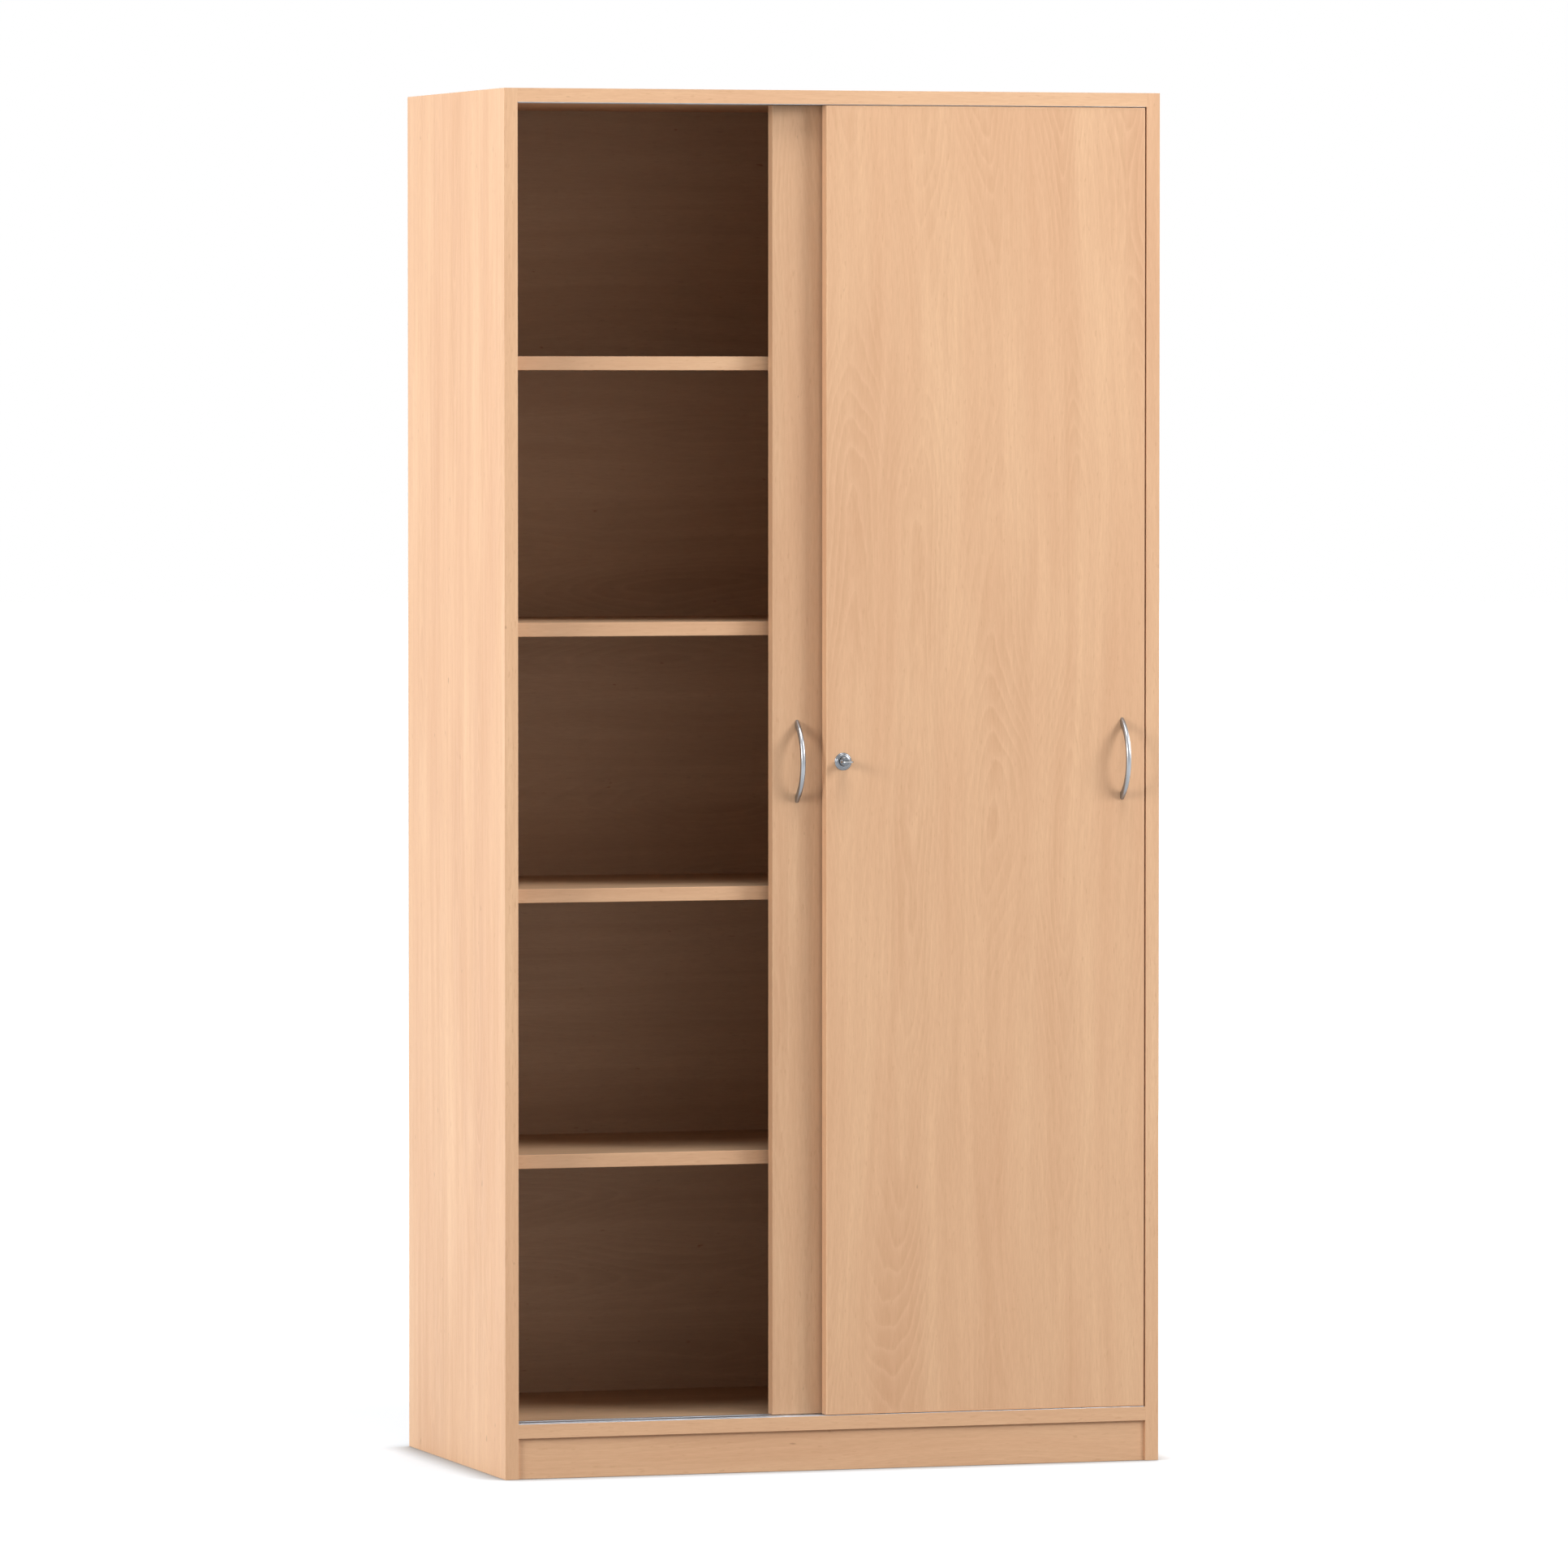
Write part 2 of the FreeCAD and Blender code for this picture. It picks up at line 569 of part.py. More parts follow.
def track(name, foot, tall, opens_up):
    """Make an extruded track: two channels for the doors, closed chambers, and a screwed rib."""
    beyond = ("track_length + 2", "inner_left + track_play - 1")
    inner_foot = f"{foot} + track_wall" if opens_up else f"{foot} - 1"
    outer_foot = f"{foot} - 1" if opens_up else f"{foot} + track_wall"
    reach = f"{tall} - track_wall + 1"
    chambers = (
        ("track_front + track_wall", "front_channel - channel_width / 2 - track_wall"),
        ("front_channel + channel_width / 2 + track_wall", "rib_middle - track_rib / 2"),
        ("rib_middle + track_rib / 2", "rear_channel - channel_width / 2 - track_wall"),
        ("rear_channel + channel_width / 2 + track_wall",
         "track_front + track_width - track_wall"),
    )
    cuts = [block(f"{name}_{lane}", (beyond[0], "channel_width", reach),
                  (beyond[1], f"{lane} - channel_width / 2", inner_foot))
            for lane in ("front_channel", "rear_channel")]
    cuts += [block(f"{name}_chamber_{index}", (beyond[0], f"({far}) - ({near})", reach),
                   (beyond[1], near, outer_foot))
             for index, (near, far) in enumerate(chambers)]
    seat = "(screw_head_height + fit_play)"
    seat_foot = f"{foot} + {tall} - {seat}" if opens_up else f"{foot}"
    for index, along in enumerate(TRACK_SCREWS):
        cuts.append(rod(f"{name}_hole_{index}", "Z", (along, "rib_middle", f"{foot} - 1"),
                        "screw / 2 + fit_play", f"{tall} + 2"))
        cuts.append(rod(f"{name}_seat_{index}", "Z", (along, "rib_middle", seat_foot),
                        "screw_head / 2 + fit_play", seat))
    bar = block(name + "_bar", ("track_length", "track_width", tall),
                ("inner_left + track_play", "track_front", foot))
    return node(hollowed(name, bar, cuts))


def track_screw(name, along, foot, tall, opens_up):
    """Make a screw with its head sunk in the rib and its shank in the board."""
    shank = f"{tall} - screw_head_height - fit_play + screw_grip"
    if opens_up:
        head_foot = f"{foot} + {tall} - screw_head_height - fit_play"
        shank_foot = f"{foot} - screw_grip"
    else:
        head_foot = f"{foot} + fit_play"
        shank_foot = f"{foot} + screw_head_height + fit_play"
    return joined(name, [
        rod(name + "_head", "Z", (along, "rib_middle", head_foot), "screw_head / 2",
            "screw_head_height"),
        rod(name + "_shank", "Z", (along, "rib_middle", shank_foot), "screw / 2 - fit_play",
            shank),
    ])


LOWER_TRACK = ("(floor_top - lower_track_depth)", "(lower_track_depth + track_proud)", True)
UPPER_TRACK = ("(ceiling - track_proud)", "(upper_track_depth + track_proud)", False)

track("lower_track", *LOWER_TRACK)
track("upper_track", *UPPER_TRACK)
several("track_screws", [
    track_screw(f"{level}_screw_{index}", along, *section)
    for level, section in (("lower", LOWER_TRACK), ("upper", UPPER_TRACK))
    for index, along in enumerate(TRACK_SCREWS)
])


# ---- doors ----


def roller_housing(name, middle, lane):
    """Make a housing let into the foot of a door, with a slot for its wheel."""
    body = block(name + "_block", ("housing_length", "housing_width", "housing_height"),
                 (f"{middle} - housing_length / 2", f"{lane} - housing_width / 2", "door_foot"))
    slot = block(name + "_slot",
                 ("wheel_size + 2 * wheel_gap", "wheel_width + 2 * wheel_gap",
                  "axle_height + wheel_size / 2 + wheel_gap - door_foot + 1"),
                 (f"{middle} - wheel_size / 2 - wheel_gap",
                  f"{lane} - wheel_width / 2 - wheel_gap", "door_foot - 1"))
    bore = rod(name + "_bore", "Y", (middle, f"{lane} - housing_width / 2 - 1", "axle_height"),
               "axle_size / 2 + running_play", "housing_width + 2")
    return hollowed(name, body, [slot, bore])


def roller_wheel(name, middle, lane):
    """Make a wheel with a running fit on its axle."""
    tread = rod(name + "_tread", "Y", (middle, f"{lane} - wheel_width / 2", "axle_height"),
                "wheel_size / 2", "wheel_width")
    bore = rod(name + "_bore", "Y", (middle, f"{lane} - wheel_width / 2 - 1", "axle_height"),
               "axle_size / 2 + running_play", "wheel_width + 2")
    return hollowed(name, tread, [bore])


def guide_sleeve(name, middle, lane):
    """Make a sleeve in the head of a door: a cap around the pin, over the spring's chamber."""
    body = rod(name + "_body", "Z", (middle, lane, "sleeve_foot"),
               "sleeve_size / 2 - fit_play", "sleeve_length")
    chamber = rod(name + "_chamber", "Z", (middle, lane, "spring_foot"), "sleeve_bore / 2",
                  "sleeve_length - sleeve_cap - sleeve_floor")
    bore = rod(name + "_bore", "Z", (middle, lane, "door_head - sleeve_cap - 1"),
               "guide_pin / 2 + running_play", "sleeve_cap + 2")
    return hollowed(name, body, [chamber, bore])


def guide_pin(name, middle, lane):
    """Make a pin that stands out of a sleeve, with a collar under the cap and a stem."""
    tip = doc.addObject("Part::Cone", name + "_tip")
    bind(tip, "Radius1", "guide_pin / 2")
    bind(tip, "Radius2", "guide_pin / 2 - guide_tip")
    bind(tip, "Height", "guide_tip")
    place(tip, (middle, lane, "guide_tip_height - guide_tip"))
    return joined(name, [
        rod(name + "_stem", "Z", (middle, lane, "collar_foot - guide_stem_length"),
            "guide_stem / 2", "guide_stem_length"),
        rod(name + "_collar", "Z", (middle, lane, "collar_foot"), "guide_collar / 2",
            "guide_collar_height"),
        rod(name + "_shank", "Z", (middle, lane, "collar_top"), "guide_pin / 2",
            "guide_tip_height - guide_tip - collar_top"),
        tip,
    ])


def spring(name, axis, at, radius, wire, length, turns):
    """Sweep a wire along a helix, from the face that holds it to the face that presses it."""
    rise = f"({length} - {wire})"
    sideways = "Y" if axis == "Z" else "Z"
    along = "xyz".index(axis.lower())
    start = list(at)
    start[along] = f"{at[along]} + {wire} / 2"
    helix = doc.addObject("Part::Helix", name + "_helix")
    helix.Placement.Rotation = TURNS[axis]
    helix.SegmentLength = 1
    bind(helix, "Radius", radius)
    bind(helix, "Height", rise)
    bind(helix, "Pitch", f"{rise} / {turns}")
    place(helix, start)
    ring = doc.addObject("Part::Circle", name + "_wire")
    ring.Placement.Rotation = TURNS[sideways]
    bind(ring, "Radius", f"{wire} / 2")
    place(ring, (f"{start[0]} + {radius}", start[1], start[2]))
    doc.recompute()
    sweep = doc.addObject("Part::Sweep", name)
    sweep.Sections = [ring]
    sweep.Spine = (helix, [])
    sweep.Solid = True
    sweep.Frenet = True
    return node(sweep)


# Where the sections of a handle's bar lie, as shares of half its arc.
HANDLE_STATIONS = (-1.15, -0.8, -0.4, 0, 0.4, 0.8, 1.15)
HANDLE_SCREW_HEIGHTS = (
    "(handle_height - handle_screw_spacing / 2)",
    "(handle_height + handle_screw_spacing / 2)",
)


def handle(name, across, face):
    """Loft an arched bar between two feet, flat where it meets the door."""
    sections = []
    for index, share in enumerate(HANDLE_STATIONS):
        turn = f"({share} * handle_half_angle)"
        swell = share * share
        section = doc.addObject("Part::Ellipse", f"{name}_section_{index}")
        bind(section, "MajorRadius",
             f"(handle_thickness + {swell} * (handle_foot - handle_thickness)) / 2")
        bind(section, "MinorRadius",
             f"(handle_width + {swell} * (handle_foot_width - handle_width)) / 2")
        bind(section, "Placement",
             f"placement(vector({across};"
             f" {face} - handle_rise + handle_radius - handle_radius * cos({turn});"
             f" handle_height + handle_radius * sin({turn}));"
             f" rotation(vector(-1; 0; 0); {turn}) * rotation(vector(0; 0; 1); -90))")
        sections.append(section)
    bar = doc.addObject("Part::Loft", name + "_bar")
    bar.Sections = sections
    bar.Solid = True
    behind = block(name + "_behind",
                   ("4 * handle_width", "handle_projection", "2 * handle_chord"),
                   (f"{across} - 2 * handle_width", face, "handle_height - handle_chord"))
    bores = [rod(f"{name}_bore_{index}", "Y",
                 (across, f"{face} - handle_screw_grip - fit_play", high),
                 "handle_screw_core / 2 + running_play", "handle_screw_grip + 2")
             for index, high in enumerate(HANDLE_SCREW_HEIGHTS)]
    return node(hollowed(name, bar, [behind] + bores))


def handle_screw(name, across, face, high):
    """Make a screw from the back of a door into a handle's foot."""
    head_at = f"{face} + door_board - counterbore_depth"
    return joined(name, [
        rod(name + "_core", "Y", (across, f"{face} - handle_screw_grip", high),
            "handle_screw_core / 2", "handle_screw_grip"),
        rod(name + "_shank", "Y", (across, face, high), "handle_screw / 2",
            "door_board - counterbore_depth"),
        rod(name + "_head", "Y", (across, head_at, high), "handle_screw_head / 2",
            "handle_screw_head_height"),
    ])


def door(prefix, left, face, wide, handle_across):
    """Make a door with its rollers, guides and handle; return its panel."""
    body = panel(prefix + "_door_panel", (wide, "door_board", "door_height"),
                 (left, face, "door_foot"))
    carriers = {"left": "roller_inset", "right": f"({wide} - roller_inset)"}
    lane = f"({face} + door_board / 2)"
    for across in carriers.values():
        recess(body, "+Z", "0",
               (f"{across} - housing_length / 2 - fit_play",
                "(door_board - housing_width) / 2 - fit_play"),
               ("housing_length + 2 * fit_play", "housing_width + 2 * fit_play"),
               "housing_height + fit_play")
    holes(body, "-Z", "door_height", [(across, "door_board / 2") for across in carriers.values()],
          "sleeve_size / 2", "sleeve_length + hole_end_play")
    screws = [(handle_across, f"{high} - door_foot") for high in HANDLE_SCREW_HEIGHTS]
    holes(body, "+Y", "0", screws, "handle_screw / 2 + fit_play", "door_board")
    holes(body, "-Y", "door_board", screws, "handle_screw_head / 2 + hole_end_play",
          "counterbore_depth")

    middles = {hand: f"({left} + {across})" for hand, across in carriers.items()}
    several(prefix + "_roller_housings", [
        roller_housing(f"{prefix}_housing_{hand}", middle, lane)
        for hand, middle in middles.items()])
    several(prefix + "_roller_axles", [
        rod(f"{prefix}_axle_{hand}", "Y", (middle, f"{lane} - housing_width / 2", "axle_height"),
            "axle_size / 2", "housing_width")
        for hand, middle in middles.items()])
    several(prefix + "_guide_sleeves", [
        guide_sleeve(f"{prefix}_sleeve_{hand}", middle, lane)
        for hand, middle in middles.items()])
    for hand, middle in middles.items():
        node(roller_wheel(f"{prefix}_wheel_{hand}", middle, lane))
        node(guide_pin(f"{prefix}_guide_pin_{hand}", middle, lane))
        spring(f"{prefix}_guide_spring_{hand}", "Z", (middle, lane, "spring_foot"),
               "spring_size / 2", "spring_wire", "(collar_foot - spring_foot)",
               GUIDE_SPRING_TURNS)

    across = f"({left} + {handle_across})"
    handle(prefix + "_handle", across, face)
    several(prefix + "_handle_screws", [
        handle_screw(f"{prefix}_handle_screw_{index}", across, face, high)
        for index, high in enumerate(HANDLE_SCREW_HEIGHTS)])
    return body


front_door = door("front", "front_door_left", "front_door_face", "front_door_width",
                  "(front_door_width - front_handle_inset)")
rear_door = door("rear", "rear_door_left", "rear_door_face", "rear_door_width",
                 "rear_handle_inset")


# ---- lock, in the front door, and its strike, on the rear door ----

LOCK_SCREW_HEIGHTS = ("(handle_height - lock_screw_spacing / 2)",
                      "(handle_height + lock_screw_spacing / 2)")
STRIKE_SCREW_HEIGHTS = ("(handle_height - strike_screw_spacing / 2)",
                        "(handle_height + strike_screw_spacing / 2)")

holes(front_door, "+Y", "0", [("lock_inset", "handle_height - door_foot")],
      "barrel_size / 2 + fit_play", "door_board")
holes(front_door, "-Y", "door_board",
      [("lock_inset", f"{high} - door_foot") for high in LOCK_SCREW_HEIGHTS],
      "screw / 2", "screw_grip + hole_end_play")
holes(rear_door, "+Y", "0",
      [("lock_middle - rear_door_closed", f"{high} - door_foot")
       for high in STRIKE_SCREW_HEIGHTS],
      "screw / 2", "screw_grip + hole_end_play")


def on_lock(depth):
    """Return a point of the lock's axis, at a depth behind the front door's face."""
    return ("lock_middle", f"front_door_face + {depth}", "handle_height")


def sunk_cone(name, across, start, high, thick, widens, play="0"):
    """Make the cone of a countersunk head, along +Y, wide at its end or at its start."""
    cone = doc.addObject("Part::Cone", name)
    cone.Placement.Rotation = TURNS["Y"]
    narrow = f"screw / 2 - fit_play + {play}"
    broad = f"screw_head / 2 + {play}"
    bind(cone, "Radius1", narrow if widens else broad)
    bind(cone, "Radius2", broad if widens else narrow)
    bind(cone, "Height", thick)
    place(cone, (across, start, high))
    return cone


def sunk_screw(name, across, plate_at, high, thick, from_back):
    """Make a countersunk screw that holds a plate to the back or the front of a door."""
    shank_at = f"{plate_at} - screw_grip" if from_back else f"{plate_at} + {thick}"
    return joined(name, [
        sunk_cone(name + "_head", across, plate_at, high, thick, from_back),
        rod(name + "_shank", "Y", (across, shank_at, high), "screw / 2 - fit_play",
            "screw_grip"),
    ])


lock_body = joined("lock_body", [
    rod("lock_rosette", "Y", on_lock("0 - rosette_height"), "rosette_size / 2",
        "rosette_height"),
    rod("lock_barrel", "Y", on_lock("0"), "barrel_size / 2", "door_board"),
])
node(hollowed("lock_housing", lock_body, [
    rod("lock_bore", "Y", on_lock("0 - rosette_height - 1"),
        "plunger_size / 2 + running_play", "rosette_height + 1 + door_board - barrel_floor"),
    rod("lock_bolt_bore", "Y", on_lock("0"), "bolt_size / 2 + running_play", "door_board + 1"),
]))

plunger_body = joined("plunger_body", [
    rod("plunger_head", "Y", on_lock("0 - plunger_reach"), "plunger_size / 2",
        "plunger_reach + plunger_depth"),
    rod("plunger_bolt", "Y", on_lock("plunger_depth"), "bolt_size / 2",
        "door_board - plunger_depth"),
])
node(hollowed("lock_plunger", plunger_body, [
    rod("plunger_bore", "Y", on_lock("0 - plunger_reach - 1"),
        "core_size / 2 + running_play", "core_depth + 1 + fit_play"),
]))

spring("lock_spring", "Y", on_lock("plunger_depth"), "(plunger_size + bolt_size) / 4",
       "lock_spring_wire", "(door_board - barrel_floor - plunger_depth)", LOCK_SPRING_TURNS)

node(hollowed("lock_core", rod(
    "core_body", "Y", on_lock("0 - plunger_reach"), "core_size / 2", "core_depth",
), [block("core_keyway",
          ("key_blade_width + 2 * key_play", "key_blade_length + key_play + 1",
           "key_blade + 2 * key_play"),
          ("lock_middle - key_blade_width / 2 - key_play",
           "front_door_face - plunger_reach - 1", "handle_height - key_blade / 2 - key_play"))]))

bow = hollowed("key_head", rod(
    "key_disc", "Z",
    ("lock_middle", "front_door_face - key_reach + key_bow / 2",
     "handle_height - key_blade / 2"),
    "key_bow / 2", "key_blade",
), [
    rod("key_eye", "Z",
        ("lock_middle", "front_door_face - key_reach + key_bow / 2 - key_hole / 4",
         "handle_height - key_blade"), "key_hole / 2", "2 * key_blade"),
    block("key_trim", ("2 * key_bow", "key_bow", "2 * key_blade"),
          ("lock_middle - key_bow", "front_door_face - plunger_reach - key_play",
           "handle_height - key_blade")),
])
node(joined("key", [bow, block(
    "key_shank",
    ("key_blade_width", "key_blade_length + key_bow / 6", "key_blade"),
    ("lock_middle - key_blade_width / 2", "front_door_face - plunger_reach - key_bow / 6",
     "handle_height - key_blade / 2"))]))

back_plate = block("back_plate_blank", ("lock_plate_width", "lock_plate", "lock_plate_height"),
                   ("lock_middle - lock_plate_width / 2", "front_door_back",
                    "handle_height - lock_plate_height / 2"))
node(hollowed("lock_back_plate", back_plate, [
    rod("back_plate_eye", "Y", on_lock("door_board - 1"), "bolt_size / 2 + fit_play",
        "lock_plate + 2"),
] + [
    sunk_cone(f"back_plate_seat_{index}", "lock_middle", "front_door_back", high,
              "lock_plate", True, "fit_play")
    for index, high in enumerate(LOCK_SCREW_HEIGHTS)]))
several("lock_screws", [
    sunk_screw(f"lock_screw_{index}", "lock_middle", "front_door_back", high,
               "lock_plate", True)
    for index, high in enumerate(LOCK_SCREW_HEIGHTS)])

STRIKE_MIDDLE = "(lock_middle + rear_door_left - rear_door_closed)"
strike_blank = block("strike_blank", ("strike_width", "strike", "strike_height"),
                     (f"{STRIKE_MIDDLE} - strike_width / 2", "rear_door_face - strike",
                      "handle_height - strike_height / 2"))
node(hollowed("strike_plate", strike_blank, [
    rod("strike_eye", "Y", (STRIKE_MIDDLE, "rear_door_face - strike - 1", "handle_height"),
        "strike_hole / 2", "strike + 2"),
] + [
    sunk_cone(f"strike_seat_{index}", STRIKE_MIDDLE, "rear_door_face - strike", high,
              "strike", False, "fit_play")
    for index, high in enumerate(STRIKE_SCREW_HEIGHTS)]))
several("strike_screws", [
    sunk_screw(f"strike_screw_{index}", STRIKE_MIDDLE, "rear_door_face - strike", high,
               "strike", False)
    for index, high in enumerate(STRIKE_SCREW_HEIGHTS)])


# ---- check and write ----

doc.recompute()
for item in doc.Objects:
    if {"Invalid", "Error"} & set(item.State):
        raise RuntimeError(f"{item.Name} failed: {item.State}")

os.makedirs("parts", exist_ok=True)
for item in nodes:
    shape = item.Shape
    if shape.isNull() or not shape.isValid() or not shape.Solids:
        raise RuntimeError(f"{item.Label} has no valid solid")
    shape.exportStep(f"parts/{item.Label}.step")
    print(f"{item.Label}: {len(shape.Solids)} solid(s), {shape.Volume:.0f} mm3")
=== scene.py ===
"""Scene of a tall sliding door cabinet: boards, doors, metal and plastic pieces, light and camera."""

import json
import logging
import math
from abc import ABC, abstractmethod
from dataclasses import dataclass, field, replace
from enum import Enum, IntEnum
from functools import cached_property

import bmesh
import bpy
from mathutils import Matrix, Vector

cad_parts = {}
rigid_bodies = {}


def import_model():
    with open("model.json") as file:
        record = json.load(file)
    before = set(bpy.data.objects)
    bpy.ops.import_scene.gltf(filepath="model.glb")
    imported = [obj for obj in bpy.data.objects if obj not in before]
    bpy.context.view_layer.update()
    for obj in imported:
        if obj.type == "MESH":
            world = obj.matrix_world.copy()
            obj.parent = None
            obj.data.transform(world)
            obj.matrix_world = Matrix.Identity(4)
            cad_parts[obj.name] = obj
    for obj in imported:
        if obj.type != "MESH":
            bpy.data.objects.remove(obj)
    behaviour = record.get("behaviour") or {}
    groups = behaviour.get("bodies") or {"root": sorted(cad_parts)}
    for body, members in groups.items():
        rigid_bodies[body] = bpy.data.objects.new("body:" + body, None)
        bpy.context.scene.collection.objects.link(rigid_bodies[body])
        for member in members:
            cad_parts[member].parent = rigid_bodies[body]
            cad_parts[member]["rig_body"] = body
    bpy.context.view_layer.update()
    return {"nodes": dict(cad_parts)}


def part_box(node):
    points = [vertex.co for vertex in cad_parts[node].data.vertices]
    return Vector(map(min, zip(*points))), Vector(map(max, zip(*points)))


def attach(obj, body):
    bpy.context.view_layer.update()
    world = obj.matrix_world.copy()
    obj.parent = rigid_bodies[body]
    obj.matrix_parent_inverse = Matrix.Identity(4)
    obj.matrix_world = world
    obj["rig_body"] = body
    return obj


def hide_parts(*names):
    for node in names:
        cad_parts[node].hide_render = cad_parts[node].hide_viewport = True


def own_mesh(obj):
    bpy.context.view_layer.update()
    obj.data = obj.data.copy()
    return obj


LOG = logging.getLogger("cabinet")
Colour = tuple[float, float, float]
Point = tuple[float, float, float]


class Grain(Enum):
    """Way in which the printed grain runs on a board, as a turn of the pattern about Y."""

    UPRIGHT = 0.0
    LEVEL = math.pi / 2


class Thin(Enum):
    """Axis across the thickness of a board."""

    X = 0
    Y = 1
    Z = 2


# ---- shader nodes ----


@dataclass
class NodeDesk:
    """Adds nodes to a tree, in a row, and links them.

    Args:
        tree: the node tree that is being built.
        column: how many nodes stand in the row.
    """

    tree: bpy.types.NodeTree
    column: int = 0

    def add(self, kind: str, given: dict | None = None, **settings: object) -> bpy.types.Node:
        """Add one node.

        Args:
            kind: the node's type.
            given: what its inputs get, by name or number.
            settings: properties of the node.

        Returns:
            The new node.
        """
        node = self.tree.nodes.new(kind)
        node.location = (self.column * 190, 0)
        self.column += 1
        for name, value in settings.items():
            setattr(node, name, value)
        self.feed(node, given or {})
        return node

    def feed(self, node: bpy.types.Node, given: dict) -> None:
        """Link sockets to a node's inputs, or set the inputs' own values.

        Args:
            node: the node.
            given: what each input gets, by name or number: a socket, a number or a triple.
        """
        for name, value in given.items():
            socket = node.inputs[name]
            if isinstance(value, bpy.types.NodeSocket):
                self.tree.links.new(value, socket)
            else:
                socket.default_value = (*value, 1.0) if socket.type == "RGBA" else value

    def math(self, operation: str, first: object, second: object = 0.0) -> bpy.types.NodeSocket:
        """Work out one value from one or two others.

        Args:
            operation: name of the Math node's operation.
            first: a socket or a number.
            second: a socket or a number.

        Returns:
            The socket of the result.
        """
        return self.add("ShaderNodeMath", {0: first, 1: second}, operation=operation).outputs[0]

    def times(self, first: object, second: object) -> bpy.types.NodeSocket:
        """Multiply two values."""
        return self.math("MULTIPLY", first, second)

    def plus(self, first: object, second: object) -> bpy.types.NodeSocket:
        """Add two values."""
        return self.math("ADD", first, second)

    def noise(
        self, vector: object, stretch: Point, detail: float = 2.0, rough: float = 0.5
    ) -> bpy.types.NodeSocket:
        """Make noise that is stretched along the axes.

        Args:
            vector: the place on the surface.
            stretch: how many cells a metre holds along each axis.
            detail: how many finer layers are added.
            rough: how strong those layers are.

        Returns:
            The socket of the noise, from 0 to 1.
        """
        scaled = self.add("ShaderNodeVectorMath", {0: vector, 1: stretch}, operation="MULTIPLY")
        given = {"Vector": scaled.outputs[0], "Scale": 1.0, "Detail": detail, "Roughness": rough}
        return self.add("ShaderNodeTexNoise", given).outputs["Fac"]

    def ramp(
        self, value: object, low: float, high: float, to_low: float = 0.0, to_high: float = 1.0
    ) -> bpy.types.NodeSocket:
        """Stretch a range of values to another, and stop at its ends.

        Args:
            value: the value to map.
            low: the value that gives to_low.
            high: the value that gives to_high.
            to_low: the first end of the result.
            to_high: the second end of the result.

        Returns:
            The socket of the result.
        """
        given = {"Value": value, "From Min": low, "From Max": high, "To Min": to_low, "To Max": to_high}
        return self.add("ShaderNodeMapRange", given).outputs["Result"]

    def blend(self, share: object, first: object, second: object) -> bpy.types.NodeSocket:
        """Blend two colours.

        Args:
            share: how much of the second colour is used.
            first: a socket or a colour.
            second: a socket or a colour.

        Returns:
            The socket of the colour.
        """
        return self.add("ShaderNodeMix", {0: share, 6: first, 7: second}, data_type="RGBA").outputs[2]


